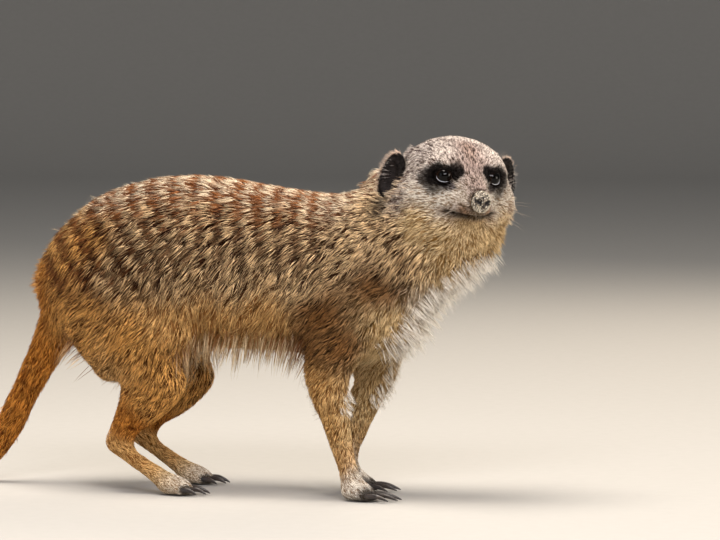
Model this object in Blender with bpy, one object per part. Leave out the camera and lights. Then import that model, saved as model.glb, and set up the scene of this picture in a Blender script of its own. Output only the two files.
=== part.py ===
"""A life-size meerkat, standing on all fours with its head turned to its right.

The frame: +X towards the chest, +Y to the animal's left, +Z up, floor at Z = 0. The solids
follow the outer surface of the coat. One hide is modelled whole, from lofted limbs and rounded
masses fused together, and is then parted into named pieces with thin cuts.
Places below are in millimetres from the point on the floor under the middle of the loins.
"""

import math

import bmesh
import bpy
import numpy as np
from mathutils import Euler, Matrix, Vector

MM = 0.001
GAP = 0.35  # clear gap left between neighbouring pieces
ROUND_GAP = 0.7  # wider gap round the egg-shaped cuts, whose two faces are faceted apart
SOLE_LEVEL = 0.3  # height at which feet and tail are cut flat

# How finely the hide is modelled, and how many facets it keeps
COARSE_VOXEL = 2.6
FINE_VOXEL = 1.5
HIDE_TRIANGLES = 5500
PARTED_TRIANGLES = 5750
FINE_SHARE = 0.9
FINE_INFLUENCE = 1.0
STEPS_PER_SPAN = 4

SIDES = {"right": -1, "left": 1}


# ---------------------------------------------------------------- modelling helpers


def smooth_run(stations, steps=STEPS_PER_SPAN):
    """Catmull-Rom values between a few stations, end stations included."""
    rows = np.array(stations, float)
    padded = np.vstack([2 * rows[0] - rows[1], rows, 2 * rows[-1] - rows[-2]])
    made = []
    for i in range(1, len(padded) - 2):
        a, b, c, d = padded[i - 1 : i + 3]
        for step in range(steps):
            t = step / steps
            made.append(
                b
                + 0.5 * t * (c - a)
                + t * t * (a - 2.5 * b + 2 * c - 0.5 * d)
                + t**3 * (1.5 * (b - c) + 0.5 * (d - a))
            )
    made.append(rows[-1])
    return np.array(made)


def ring_matrix(rows, i):
    """Places a unit ring across the run at row i: X of the ring lies sideways, Y fore and aft."""
    before, after = rows[max(i - 1, 0)], rows[min(i + 1, len(rows) - 1)]
    along = Vector(after[:3] - before[:3]).normalized()
    sideways = Vector((0, 1, 0))
    sideways = (sideways - along * along.dot(sideways)).normalized()
    across = along.cross(sideways)
    x, y, z, half_width, half_height = rows[i]
    columns = Matrix((sideways * half_width, across * half_height, along)).transposed()
    return Matrix.Translation((x, y, z)) @ columns.to_4x4()


def tube(bm, stations, frame=Matrix(), sides=20, steps=STEPS_PER_SPAN):
    """A closed loft through stations of (x, y, z, half width, half height)."""
    rows = smooth_run(stations, steps)
    before = frame @ ring_matrix(rows, 0)
    ring = bmesh.ops.create_circle(bm, cap_ends=True, segments=sides, radius=1, matrix=before)
    edges = list({e for v in ring["verts"] for e in v.link_edges})
    for i in range(1, len(rows)):
        made = bmesh.ops.extrude_edge_only(bm, edges=edges)["geom"]
        verts = {g for g in made if isinstance(g, bmesh.types.BMVert)}
        edges = [
            g for g in made if isinstance(g, bmesh.types.BMEdge) and set(g.verts) <= verts
        ]
        after = frame @ ring_matrix(rows, i)
        bmesh.ops.transform(bm, matrix=after @ before.inverted(), verts=list(verts))
        before = after
    bmesh.ops.contextual_create(bm, geom=edges)


def ball(bm, centre, radii, frame=Matrix(), turn=(0, 0, 0), rings=14):
    """An ellipsoid, with its own turn in degrees inside the frame."""
    placed = Matrix.Translation(centre) @ Euler([math.radians(a) for a in turn]).to_matrix().to_4x4()
    bmesh.ops.create_uvsphere(
        bm,
        u_segments=2 * rings,
        v_segments=rings,
        radius=1,
        matrix=frame @ placed @ Matrix.Diagonal((*radii, 1)),
    )


def block(bm, centre, size, frame=Matrix()):
    bmesh.ops.create_cube(
        bm, size=1, matrix=frame @ Matrix.Translation(centre) @ Matrix.Diagonal((*size, 1))
    )


def made_object(name, bm):
    bmesh.ops.recalc_face_normals(bm, faces=bm.faces)
    mesh = bpy.data.meshes.new(name)
    bm.to_mesh(mesh)
    bm.free()
    obj = bpy.data.objects.new(name, mesh)
    bpy.context.scene.collection.objects.link(obj)
    return obj


def settle(obj):
    """Applies the object's modifiers."""
    bpy.context.view_layer.update()
    evaluated = obj.evaluated_get(bpy.context.evaluated_depsgraph_get())
    mesh = bpy.data.meshes.new_from_object(evaluated)
    obj.modifiers.clear()
    obj.data = mesh


def fuse(obj, voxel, smoothing):
    """Makes one skin of overlapping closed shapes, and softens the creases where they meet."""
    remesh = obj.modifiers.new("fuse", "REMESH")
    remesh.mode = "VOXEL"
    remesh.voxel_size = voxel
    soften = obj.modifiers.new("soften", "SMOOTH")
    soften.factor = 0.5
    soften.iterations = smoothing
    settle(obj)


def islands_of(bm):
    """The separate bodies in a mesh, each as a set of vertices."""
    found, seen = [], set()
    for start in bm.verts:
        if start in seen:
            continue
        island, todo = {start}, [start]
        while todo:
            for edge in todo.pop().link_edges:
                for v in edge.verts:
                    if v not in island:
                        island.add(v)
                        todo.append(v)
        seen |= island
        found.append(island)
    return found


def keep_largest(obj):
    """Drops the crumbs that a cut can leave beside the piece."""
    bm = bmesh.new()
    bm.from_mesh(obj.data)
    for island in sorted(islands_of(bm), key=len)[:-1]:
        bmesh.ops.delete(bm, geom=list(island), context="VERTS")
    bm.to_mesh(obj.data)
    bm.free()


def cut(obj, cutter, operation):
    boolean = obj.modifiers.new(operation.lower(), "BOOLEAN")
    boolean.operation = operation
    boolean.object = cutter
    settle(obj)


def discard(obj):
    bpy.data.objects.remove(obj)


def cut_away(obj, cutter, operation="DIFFERENCE"):
    """Cuts the object and removes the cutter."""
    cut(obj, cutter, operation)
    discard(cutter)


# ---------------------------------------------------------------- trunk, neck and tail

# Stations along the trunk: x, y, z of the middle, half width, half height
TRUNK = [
    (-102, 0, 139, 9, 9),
    (-95, 0, 129, 23, 26),
    (-80, 0, 124, 35, 38),
    (-52, 0, 131, 41, 47),
    (-18, 0, 134, 45, 51),
    (18, 0, 132, 45, 50),
    (52, 0, 129, 41, 48),
    (82, 0, 125, 37, 50),
    (104, 0, 127, 31, 44),
    (118, 0, 132, 20, 30),
]
NECK = [
    (86, 0, 124, 35, 50),
    (107, -1, 138, 34, 45),
    (130, -2, 148, 33, 36),
    (145, -3.5, 162, 32, 34),
    (157, -5, 180, 28, 27),
]
# The tail hangs from the rump and its last half lies on the floor, bent to the left
TAIL = [
    (-80, 0, 128, 18, 18),
    (-91, 0, 106, 16, 16),
    (-107, 0, 78, 12, 12),
    (-122, 0, 51, 9.6, 9.6),
    (-135, 1, 27, 8.4, 8.4),
    (-152, 3, 11, 7.8, 7.6),
    (-174, 7, 6.4, 7, 6.8),
    (-198, 14, 5.4, 6.2, 5.8),
    (-220, 24, 4.6, 5.2, 5),
    (-236, 36, 3.6, 3.6, 4),
    (-240, 41, 3.0, 1.8, 2.2),
]

# ---------------------------------------------------------------- head

# The head's own frame: its origin between the ears, +X out along the muzzle, +Y to its left
HEAD_PLACE = (150.5, -5, 185.5)
HEAD_TURN = {"yaw": -53, "pitch": -7, "roll": 3.6}
EYE_RADIUS = 5.3
EYE_PLACE = (18.4, 13.6, 3)
GAZE = math.radians(28)
ORBIT_OFFSET = 7.3
ORBIT_RADIUS = 7.0
NOSE_PLACE = (45.4, 0, -7)
NOSE_RADII = (5.2, 5.6, 6.2)
EAR_PLACE = (-14, 34.3, -4.5)
EAR_RADII = (7.8, 3.8, 14.2)
EAR_SPLAY = 38


def head_frame():
    turn = (
        Matrix.Rotation(math.radians(HEAD_TURN["yaw"]), 4, "Z")
        @ Matrix.Rotation(math.radians(-HEAD_TURN["pitch"]), 4, "Y")
        @ Matrix.Rotation(math.radians(-HEAD_TURN["roll"]), 4, "X")
    )
    return Matrix.Translation(HEAD_PLACE) @ turn


HEAD = head_frame()
# The bridge of the nose is narrow; the lips and cheeks below it are broad
BRIDGE = [
    (2, 0, 4, 13, 13),
    (18, 0, 1, 9.5, 11),
    (30, 0, -2.5, 7.6, 8.6),
    (40, 0, -5.5, 6.4, 6.8),
    (46, 0, -7, 5.4, 5.6),
]
LIPS = [
    (-8, 0, -6, 33, 20),
    (6, 0, -9, 27, 15.5),
    (18, 0, -11, 19, 11.5),
    (29, 0, -12, 13.2, 8.4),
    (38, 0, -12, 8.6, 6.2),
    (44, 0, -11.5, 5, 4.4),
]


def add_head(bm):
    """Skull, brow, cheeks, muzzle and jaw. Both halves are alike."""
    ball(bm, (-5, 0, 2), (35, 30, 20.5), HEAD, rings=18)
    ball(bm, (7, 0, 7), (19, 23, 13), HEAD)
    ball(bm, (-24, 0, -10), (22, 33, 24), HEAD)
    for side in (-1, 1):
        ball(bm, (-5, side * 18.5, -15), (23, 19, 19), HEAD)
    tube(bm, BRIDGE, HEAD, sides=24)
    tube(bm, LIPS, HEAD, sides=28)
    ball(bm, (25, 0, -17.5), (14, 9.5, 6), HEAD)
    ball(bm, (0, 0, -17), (26, 27, 17), HEAD)


def orbits_cutter():
    """Shallow bowls in front of the eyes, which leave each eye set back under its brow."""
    bm = bmesh.new()
    for side in (-1, 1):
        gaze = Vector((math.cos(GAZE), side * math.sin(GAZE), 0))
        centre = Vector((EYE_PLACE[0], side * EYE_PLACE[1], EYE_PLACE[2])) + gaze * ORBIT_OFFSET
        ball(bm, centre, (ORBIT_RADIUS,) * 3, HEAD, rings=16)
    return made_object("orbits", bm)


def ear_frame(side):
    """The ear's own frame: +X to the front edge, +Z up, and Y across its thickness."""
    place = Matrix.Translation((EAR_PLACE[0], side * EAR_PLACE[1], EAR_PLACE[2]))
    return HEAD @ place @ Matrix.Rotation(math.radians(-side * EAR_SPLAY), 4, "Z")


def ear_solid(side):
    """A low, thick-rimmed crescent, hollow on its outer face and set close to the head."""
    bm = bmesh.new()
    ball(bm, (0, 0, 0), EAR_RADII, ear_frame(side), rings=8)
    ear = made_object("ear_" + name_of(side), bm)
    bm = bmesh.new()
    ball(bm, (1.5, side * 4.2, -0.5), (5.4, 3.6, 9.8), ear_frame(side), rings=6)
    hollow = made_object("hollow", bm)
    cut(ear, hollow, "DIFFERENCE")
    discard(hollow)
    return ear


def name_of(side):
    return "right" if side < 0 else "left"


# ---------------------------------------------------------------- legs

FORELEG = {
    "right": {
        "shoulder": (101, -20, 118),
        "elbow": (78, -27, 74),
        "wrist": (91, -26, 20),
        "ball": (96, -26.5, 6.4),
    },
    "left": {
        "shoulder": (101, 20, 118),
        "elbow": (89, 26, 71),
        "wrist": (72, 25, 20),
        "ball": (77, 25.5, 6.4),
    },
}
HIND_LEG = {
    "right": {
        "hip": (-64, -17, 124),
        "knee": (-13, -32, 77),
        "heel": (-53, -30, 29),
        "ball": (-15, -31, 6.4),
    },
    "left": {
        "hip": (-64, 17, 124),
        "knee": (-20, 32, 76),
        "heel": (-63, 30, 29),
        "ball": (-27, 31, 6.4),
    },
}
TOE_SPREAD = (-6.6, -2.3, 2.3, 6.6)
TOE_REACH = (8.5, 12, 12, 8.5)
TOE_RADIUS = 3.5
FORE_CLAW = 12
HIND_CLAW = 7.5


def between(a, b, share):
    return Vector(a).lerp(Vector(b), share)


def station(place, half_width, half_height):
    return (*place, half_width, half_height)


def add_rump(bm):
    """The upright tuft of hair over the root of the tail."""
    ball(bm, (-80, 0, 136), (24, 30, 24))


def add_foreleg(bm, joints):
    shoulder, elbow, wrist, ball_of_foot = (
        Vector(joints[k]) for k in ("shoulder", "elbow", "wrist", "ball")
    )
    tube(
        bm,
        [
            station(shoulder, 15, 24),
            station(between(shoulder, elbow, 0.5), 15, 20),
            station(elbow, 12.5, 15),
            station(between(elbow, wrist, 0.3), 10.5, 12.2),
            station(between(elbow, wrist, 0.65), 8.4, 9.2),
            station(wrist, 7.4, 7.2),
            station(between(wrist, ball_of_foot, 0.7), 8.6, 6.6),
        ],
    )
    ball(bm, ball_of_foot, (9, 9.4, 7))


def add_hind_leg(bm, joints):
    hip, knee, heel, ball_of_foot = (Vector(joints[k]) for k in ("hip", "knee", "heel", "ball"))
    tube(
        bm,
        [
            station(hip, 20, 32),
            station(between(hip, knee, 0.5), 19, 32),
            station(knee, 13, 19),
        ],
    )
    ball(bm, between(hip, heel, 0.3) + Vector((14, 0, 0)), (34, 17, 30))
    tube(
        bm,
        [
            station(hip + Vector((-10, 0, -12)), 16, 26),
            station(between(hip, heel, 0.38) + Vector((2, 0, 0)), 15, 22),
            station(between(hip, heel, 0.62) + Vector((8, 0, 0)), 10, 13),
        ],
    )
    tube(
        bm,
        [
            station(knee, 12, 16),
            station(between(knee, heel, 0.3), 12, 19),
            station(between(knee, heel, 0.62), 9.5, 14),
            station(between(knee, heel, 0.86), 7, 8.5),
            station(heel, 6.4, 7),
        ],
    )
    ball(bm, heel, (7.5, 6.4, 7.5))
    tube(
        bm,
        [
            station(heel, 6.2, 6.4),
            station(between(heel, ball_of_foot, 0.5), 7.2, 6.2),
            station(ball_of_foot, 9, 6.4),
        ],
    )
    ball(bm, ball_of_foot, (9, 9.2, 6.8))


def toe_tip(ball_of_foot, side, n):
    """The middle of the last joint of toe n, counted from the inner side."""
    x, y, _ = ball_of_foot
    return Vector((x + TOE_REACH[n], y + side * TOE_SPREAD[n] * 1.12, TOE_RADIUS - 0.5))


def add_toes(bm, ball_of_foot, side):
    for n, spread in enumerate(TOE_SPREAD):
        tip = toe_tip(ball_of_foot, side, n)
        root = Vector(ball_of_foot) + Vector((2, side * spread * 0.9, -0.6))
        knuckle = between(root, tip, 0.62) + Vector((0, 0, 1.6))
        tube(
            bm,
            [
                station(root, 3.6, 4.6),
                station(knuckle, TOE_RADIUS - 0.1, TOE_RADIUS),
                station(tip, TOE_RADIUS - 0.6, TOE_RADIUS - 0.4),
            ],
            sides=12,
        )
        ball(bm, tip, (TOE_RADIUS, TOE_RADIUS - 0.6, TOE_RADIUS - 0.2), rings=8)


def add_claw(bm, tip, side, spread, length, grown=0.0):
    """A slim curved claw, deeper than wide, from inside the toe to just above the floor."""
    base = tip + Vector((-grown, 0, 0.9))
    out = Vector((1, side * spread * 0.02, 0)).normalized()
    reach = length + TOE_RADIUS + grown
    stations = [
        station(base, 1.25 + grown, 1.7 + grown),
        station(base + out * reach * 0.45 + Vector((0, 0, 0.5)), 1.15 + grown, 1.55 + grown),
        station(base + out * reach * 0.8 + Vector((0, 0, -0.9)), 0.75 + grown, 0.95 + grown),
        station(base + out * reach + Vector((0, 0, -2.3)), 0.3 + grown, 0.35 + grown),
    ]
    tube(bm, stations, sides=7, steps=1)


# ---------------------------------------------------------------- the hide, whole


def whole_hide():
    """The animal's outer shape in one piece: broad masses first, then the finer ends."""
    bm = bmesh.new()
    tube(bm, TRUNK, sides=32)
    tube(bm, NECK, sides=28)
    tube(bm, TAIL[:5], sides=20)
    add_rump(bm)
    for side in SIDES:
        add_foreleg(bm, FORELEG[side])
        add_hind_leg(bm, HIND_LEG[side])
    hide = made_object("hide", bm)
    fuse(hide, COARSE_VOXEL, smoothing=30)
    bm = bmesh.new()
    bm.from_mesh(hide.data)
    discard(hide)
    add_head(bm)
    ball(bm, (107, 9, 167), (21.5, 22, 25.5), rings=18)
    tube(bm, TAIL[3:], sides=20)
    for side, sign in SIDES.items():
        for joints in (FORELEG[side], HIND_LEG[side]):
            ball(bm, joints["ball"], (9, 9.2, 6.8))
            add_toes(bm, joints["ball"], sign)
    hide = made_object("hide", bm)
    fuse(hide, FINE_VOXEL, smoothing=3)
    cut_away(hide, orbits_cutter())
    fuse(hide, FINE_VOXEL, smoothing=2)
    return hide


def thin_out(hide):
    """Fewer, larger facets, laid where the surface bends least and kept finer on head and feet."""
    fine = hide.vertex_groups.new(name="fine")
    for v in hide.data.vertices:
        in_head = HEAD.inverted() @ v.co
        on_face = in_head.length < 52 and in_head.x > -30
        on_foot = v.co.z < 24 and v.co.x > -70
        fine.add([v.index], FINE_SHARE if on_face or on_foot else 0.0, "REPLACE")
    thin = hide.modifiers.new("thin", "DECIMATE")
    thin.ratio = HIDE_TRIANGLES / (2 * len(hide.data.polygons))
    thin.vertex_group = "fine"
    thin.invert_vertex_group = True
    thin.vertex_group_factor = FINE_INFLUENCE
    settle(hide)


def thin_pieces(objects):
    """Drops the needless small facets that the cuts leave, the same share from each piece."""
    total = sum(len(p.vertices) - 2 for obj in objects for p in obj.data.polygons)
    for obj in objects:
        thin = obj.modifiers.new("thin", "DECIMATE")
        thin.ratio = PARTED_TRIANGLES / total
        settle(obj)


def flatten_soles(pieces):
    """Cuts feet and tail off at one level, so that they rest on small flats."""
    for name, piece in pieces.items():
        if name.split("_")[0] in RESTING_PIECES:
            bm = bmesh.new()
            block(bm, (0, 0, SOLE_LEVEL - 50), (800, 300, 100))
            cut_away(piece, made_object("floor_block", bm))


# ---------------------------------------------------------------- parting the hide

# The thigh and the upper arm are parted from the trunk by egg shapes laid along the bone:
# place of the middle, radii, and the pitch of the long axis in degrees
THIGH_EGG = {"place": (-40, 36, 93), "radii": (54, 28, 50), "pitch": 37}
ARM_EGG = {"place": (91, 34, 92), "radii": (50, 25, 27), "pitch": 70}

# Thin flat cuts: place, direction across the cut, and half the plate's side
LIMB_CUTS = [
    ((-35, 0, 60), (0.25, 0, -1), 56),
    ((86, 0, 62), (0, 0, 1), 42),
    ((82, 0, 17.5), (0, 0, 1), 42),
    ((-46.3, -30, 37.1), (0.64, 0, 0.77), 15),
    ((-55.9, 30, 36.7), (0.67, 0, 0.74), 15),
]
TRUNK_CUTS = [
    ((-57, 0, 125), (1, 0, 0.1), 66),
    ((38, 0, 130), (1, 0, 0), 62),
    ((113, 0, 146), (0.80, 0, 0.60), 62),
    ((131, -4, 174), (0.62, -0.50, 0.60), 52),
    ((-98.5, 0, 93), (-0.5, 0, -0.87), 17),
    ((-125, 0, 45), (-0.46, 0, -0.89), 13),
    ((-163, 5, 8.5), (-0.97, 0.15, -0.2), 12),
    ((-205, 17, 5.2), (-0.93, 0.36, 0), 9),
]
MUZZLE_CUT = 25.6
CHIN_CUT = -24.5

# A point near the middle of each piece, by which the parted pieces are told apart
LIMB_MIDDLES = {
    "forearm_right": (84, -27, 40),
    "forearm_left": (82, 26, 40),
    "forepaw_right": (101, -26, 9),
    "forepaw_left": (82, 26, 9),
    "shank_right": (-30, -31, 47),
    "shank_left": (-38, 31, 47),
    "hindfoot_right": (-28, -31, 18),
    "hindfoot_left": (-40, 31, 18),
    "trunk": (0, 0, 110),
}
TRUNK_MIDDLES = {
    "head": (145, -4, 180),
    "neck": (125, 0, 150),
    "chest": (78, 0, 120),
    "belly": (-10, 0, 130),
    "rump": (-84, 0, 120),
    "tail_base": (-112, 0, 70),
    "tail_upper": (-142, 0, 22),
    "tail_lower": (-184, 10, 6),
    "tail_tip": (-222, 26, 5),
}


RESTING_PIECES = ("forepaw", "hindfoot", "tail")


def egg_cutter(egg, side, grown):
    bm = bmesh.new()
    x, y, z = egg["place"]
    radii = [r + grown for r in egg["radii"]]
    ball(bm, (x, side * y, z), radii, turn=(0, egg["pitch"], 0), rings=9)
    return made_object("egg", bm)


def plates_cutter(cuts):
    """Square plates as thin as the gap, each facing along its own direction."""
    bm = bmesh.new()
    for place, across, reach in cuts:
        turn = Vector(across).normalized().to_track_quat("Z", "Y").to_matrix().to_4x4()
        frame = Matrix.Translation(place) @ turn
        block(bm, (0, 0, 0), (2 * reach, 2 * reach, GAP), frame)
    return made_object("plates", bm)


def take_upper_limbs(trunk):
    """Takes the thighs and upper arms off the trunk, each with a gap all round."""
    for side, sign in SIDES.items():
        for name, egg in (("thigh_", THIGH_EGG), ("upper_arm_", ARM_EGG)):
            piece = trunk.copy()
            piece.name = name + side
            piece.data = trunk.data.copy()
            bpy.context.scene.collection.objects.link(piece)
            cut_away(piece, egg_cutter(egg, sign, 0), "INTERSECT")
            keep_largest(piece)
            cut_away(trunk, egg_cutter(egg, sign, ROUND_GAP))


def middle_of(verts):
    """The middle of the box round some vertices."""
    low = Vector([min(v.co[i] for v in verts) for i in range(3)])
    high = Vector([max(v.co[i] for v in verts) for i in range(3)])
    return (low + high) / 2


def split(obj, middles):
    """Makes an object of each separate body that has a name, and drops the crumbs."""
    pieces = {}
    for name, place in middles.items():
        bm = bmesh.new()
        bm.from_mesh(obj.data)
        bodies = [i for i in islands_of(bm) if len(i) > 40]
        wanted = min(bodies, key=lambda i: (middle_of(i) - Vector(place)).length)
        rest = [v for v in bm.verts if v not in wanted]
        bmesh.ops.delete(bm, geom=rest, context="VERTS")
        pieces[name] = made_object(name, bm)
    discard(obj)
    return pieces


def part_muzzle(head):
    """Cuts the muzzle and chin free: across in front of the eyes, then along under the chin."""
    for centre, size in (
        ((MUZZLE_CUT, 0, CHIN_CUT + 30), (GAP, 80, 60)),
        ((MUZZLE_CUT + 30 - GAP / 2, 0, CHIN_CUT), (60, 80, GAP)),
    ):
        bm = bmesh.new()
        block(bm, centre, size, HEAD)
        cut_away(head, made_object("plate", bm))
    middles = {"muzzle": HEAD @ Vector((36, 0, -10)), "head_rest": HEAD @ Vector((0, 0, -10))}
    return split(head, middles)


# ---------------------------------------------------------------- eyes, ears, nose and claws


def add_eyes(head):
    for sign in SIDES.values():
        centre = (EYE_PLACE[0], sign * EYE_PLACE[1], EYE_PLACE[2])
        for name, grown in (("socket", GAP), ("eye_" + name_of(sign), 0)):
            bm = bmesh.new()
            ball(bm, centre, (EYE_RADIUS + grown,) * 3, HEAD, rings=9)
            made = made_object(name, bm)
            if grown:
                cut_away(head, made)


def add_ears(neighbours):
    for sign in SIDES.values():
        for piece in neighbours:
            bm = bmesh.new()
            ball(bm, (0, 0, 0), [r + GAP for r in EAR_RADII], ear_frame(sign), rings=8)
            cut_away(piece, made_object("socket", bm))
        ear_solid(sign)


def add_nose(muzzle):
    for name, grown in (("socket", GAP), ("nose", 0)):
        bm = bmesh.new()
        ball(bm, NOSE_PLACE, [r + grown for r in NOSE_RADII], HEAD, rings=8)
        made = made_object(name, bm)
        if grown:
            cut_away(muzzle, made)


def add_claws(pieces):
    for side, sign in SIDES.items():
        for kind, paw, legs, length in (
            ("fore", "forepaw_", FORELEG, FORE_CLAW),
            ("hind", "hindfoot_", HIND_LEG, HIND_CLAW),
        ):
            sockets = bmesh.new()
            for n, spread in enumerate(TOE_SPREAD):
                tip = toe_tip(legs[side]["ball"], sign, n)
                add_claw(sockets, tip, sign, spread, length, GAP)
                bm = bmesh.new()
                add_claw(bm, tip, sign, spread, length)
                made_object(f"claw_{kind}_{side}_{n + 1}", bm)
            cut_away(pieces[paw + side], made_object("sockets", sockets))
            keep_largest(pieces[paw + side])


# ---------------------------------------------------------------- colours

# Base colour and roughness, by the first word of the piece's name
FINISHES = {
    "head": ((0.33, 0.26, 0.19), 0.9),
    "muzzle": ((0.52, 0.46, 0.38), 0.85),
    "nose": ((0.05, 0.04, 0.035), 0.5),
    "ear": ((0.03, 0.024, 0.02), 0.9),
    "eye": ((0.012, 0.009, 0.008), 0.1),
    "neck": ((0.36, 0.27, 0.16), 0.9),
    "chest": ((0.36, 0.27, 0.17), 0.9),
    "belly": ((0.33, 0.24, 0.14), 0.9),
    "rump": ((0.35, 0.22, 0.10), 0.9),
    "thigh": ((0.36, 0.24, 0.11), 0.9),
    "shank": ((0.42, 0.26, 0.10), 0.9),
    "hindfoot": ((0.52, 0.38, 0.20), 0.9),
    "upper": ((0.34, 0.25, 0.14), 0.9),
    "forearm": ((0.44, 0.31, 0.16), 0.9),
    "forepaw": ((0.55, 0.46, 0.34), 0.9),
    "tail": ((0.42, 0.24, 0.09), 0.9),
    "claw": ((0.04, 0.034, 0.03), 0.4),
}


def finish(obj):
    colour, roughness = FINISHES[obj.name.split("_")[0]]
    material = bpy.data.materials.new(obj.name)
    material.use_nodes = True
    shader = material.node_tree.nodes["Principled BSDF"]
    shader.inputs["Base Color"].default_value = (*colour, 1)
    shader.inputs["Roughness"].default_value = roughness
    shader.inputs["Metallic"].default_value = 0
    obj.data.materials.clear()
    obj.data.materials.append(material)
    obj.data.polygons.foreach_set("use_smooth", [True] * len(obj.data.polygons))
    obj.data.set_sharp_from_angle(angle=math.radians(50))


def centre_all(objects):
    """Puts the middle of the whole box over the origin, and turns millimetres into metres."""
    corners = [v.co for obj in objects for v in obj.data.vertices]
    shift = [-(min(c[i] for c in corners) + max(c[i] for c in corners)) / 2 for i in (0, 1)]
    lift = -min(c[2] for c in corners)
    for obj in objects:
        obj.data.transform(Matrix.Scale(MM, 4) @ Matrix.Translation((*shift, lift)))


def main():
    for obj in list(bpy.data.objects):
        bpy.data.objects.remove(obj)
    hide = whole_hide()
    thin_out(hide)
    cut_away(hide, plates_cutter(LIMB_CUTS))
    pieces = split(hide, LIMB_MIDDLES)
    trunk = pieces["trunk"]
    take_upper_limbs(trunk)
    cut_away(trunk, plates_cutter(TRUNK_CUTS))
    pieces.update(split(trunk, TRUNK_MIDDLES))
    front = part_muzzle(pieces["head"])
    head = front["head_rest"]
    head.name = "head"
    thin_pieces([obj for obj in bpy.data.objects if obj.type == "MESH"])
    flatten_soles(pieces)
    add_eyes(head)
    add_ears((head, pieces["neck"]))
    add_nose(front["muzzle"])
    add_claws(pieces)
    made = [obj for obj in bpy.data.objects if obj.type == "MESH"]
    centre_all(made)
    for obj in made:
        finish(obj)


main()
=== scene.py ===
"""The looks of a meerkat standing on all fours with its head turned: skin, coat, eyes, nose,
ears, claws and whiskers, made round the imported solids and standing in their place."""

import math

import bmesh
import bpy
import numpy as np
from mathutils import Matrix, Vector, noise
from mathutils.bvhtree import BVHTree
from mathutils.kdtree import KDTree


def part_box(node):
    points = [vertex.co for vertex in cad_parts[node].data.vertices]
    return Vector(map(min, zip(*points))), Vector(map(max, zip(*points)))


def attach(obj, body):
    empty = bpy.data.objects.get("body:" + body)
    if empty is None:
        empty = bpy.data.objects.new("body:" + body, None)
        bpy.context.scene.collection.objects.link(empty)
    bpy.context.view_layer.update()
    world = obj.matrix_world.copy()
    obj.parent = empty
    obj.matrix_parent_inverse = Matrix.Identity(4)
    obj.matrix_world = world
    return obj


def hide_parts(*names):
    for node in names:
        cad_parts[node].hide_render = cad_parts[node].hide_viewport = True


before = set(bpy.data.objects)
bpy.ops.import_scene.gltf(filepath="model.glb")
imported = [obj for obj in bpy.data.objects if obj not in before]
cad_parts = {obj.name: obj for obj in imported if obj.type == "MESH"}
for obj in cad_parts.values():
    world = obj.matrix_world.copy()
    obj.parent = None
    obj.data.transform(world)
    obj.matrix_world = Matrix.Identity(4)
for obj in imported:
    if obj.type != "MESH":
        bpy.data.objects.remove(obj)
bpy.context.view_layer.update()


# ------------------------------------------------------------------------------------ skin
# One hide covers the whole animal from the nose to the tip of the tail, ears and feet
# included. It is stretched over the flesh, and lies below the outline by the coat's depth.

MM = 0.001
SIDES = {"right": -1, "left": 1}

FLESH = ["head", "muzzle", "neck", "chest", "belly", "rump"]
FLESH += ["tail_base", "tail_upper", "tail_lower", "tail_tip"]
for part in ("upper_arm", "forearm", "forepaw", "thigh", "shank", "hindfoot"):
    FLESH += [f"{part}_{side}" for side in SIDES]


def middle(node):
    """The middle of a solid's box, in millimetres."""
    low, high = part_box(node)
    return (low + high) / (2 * MM)


def head_bearings(slope=math.radians(20.3), nose_ahead=45.4, nose_below=7):
    """The head's own axes, from the eyes and the nose: X out along the muzzle, Y to its left."""
    between_eyes = (middle("eye_left") + middle("eye_right")) / 2
    left = (middle("eye_left") - middle("eye_right")).normalized()
    out = middle("nose") - between_eyes
    out = (out - left * out.dot(left)).normalized()
    forward = out * math.cos(slope) + out.cross(left) * math.sin(slope)
    up = forward.cross(left)
    origin = middle("nose") - forward * nose_ahead + up * nose_below
    return Matrix.Translation(origin) @ Matrix((forward, left, up)).transposed().to_4x4()


HEAD = head_bearings()
HEAD_TURN = np.array(HEAD.to_3x3())
HEAD_ORIGIN = np.array(HEAD.translation)


def in_head(points):
    """Places in millimetres, seen from the head's own axes."""
    return (points - HEAD_ORIGIN) @ HEAD_TURN


def from_head(points):
    """Places in the head's own axes, seen from the frame."""
    return points @ HEAD_TURN.T + HEAD_ORIGIN


def middle_in_head(node):
    return in_head(np.array([middle(node)]))[0]


def lengths(vectors):
    return np.linalg.norm(vectors, axis=1)


def unit(vectors):
    return vectors / np.maximum(lengths(vectors), 1e-9)[:, None]


def ease(values, start, end):
    """0 before start, 1 past end, and smooth between."""
    share = np.clip((values - start) / (end - start), 0, 1)
    return share * share * (3 - 2 * share)


def bell(values, wide):
    """1 at zero, and down to nothing on both sides over about a width."""
    return np.exp(-((values / wide) ** 2))


def new_object(name, data):
    obj = bpy.data.objects.new(name, data)
    bpy.context.scene.collection.objects.link(obj)
    return obj


def object_from(name, bm):
    """A smooth-shaded object made of a bmesh, which it frees."""
    mesh = bpy.data.meshes.new(name)
    bm.to_mesh(mesh)
    bm.free()
    mesh.polygons.foreach_set("use_smooth", [True] * len(mesh.polygons))
    return new_object(name, mesh)


def soften(bm, verts, times=1, factor=0.5):
    """Moves each vertex towards the middle of its neighbours."""
    for _ in range(times):
        bmesh.ops.smooth_vert(bm, verts=verts, factor=factor, use_axis_x=True, use_axis_y=True,
                              use_axis_z=True)


# The solids swell a little, so that neighbours meet across the thin cuts between them.
SWELL = 0.4 * MM
SKIN_VOXEL = 1.45 * MM

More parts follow.
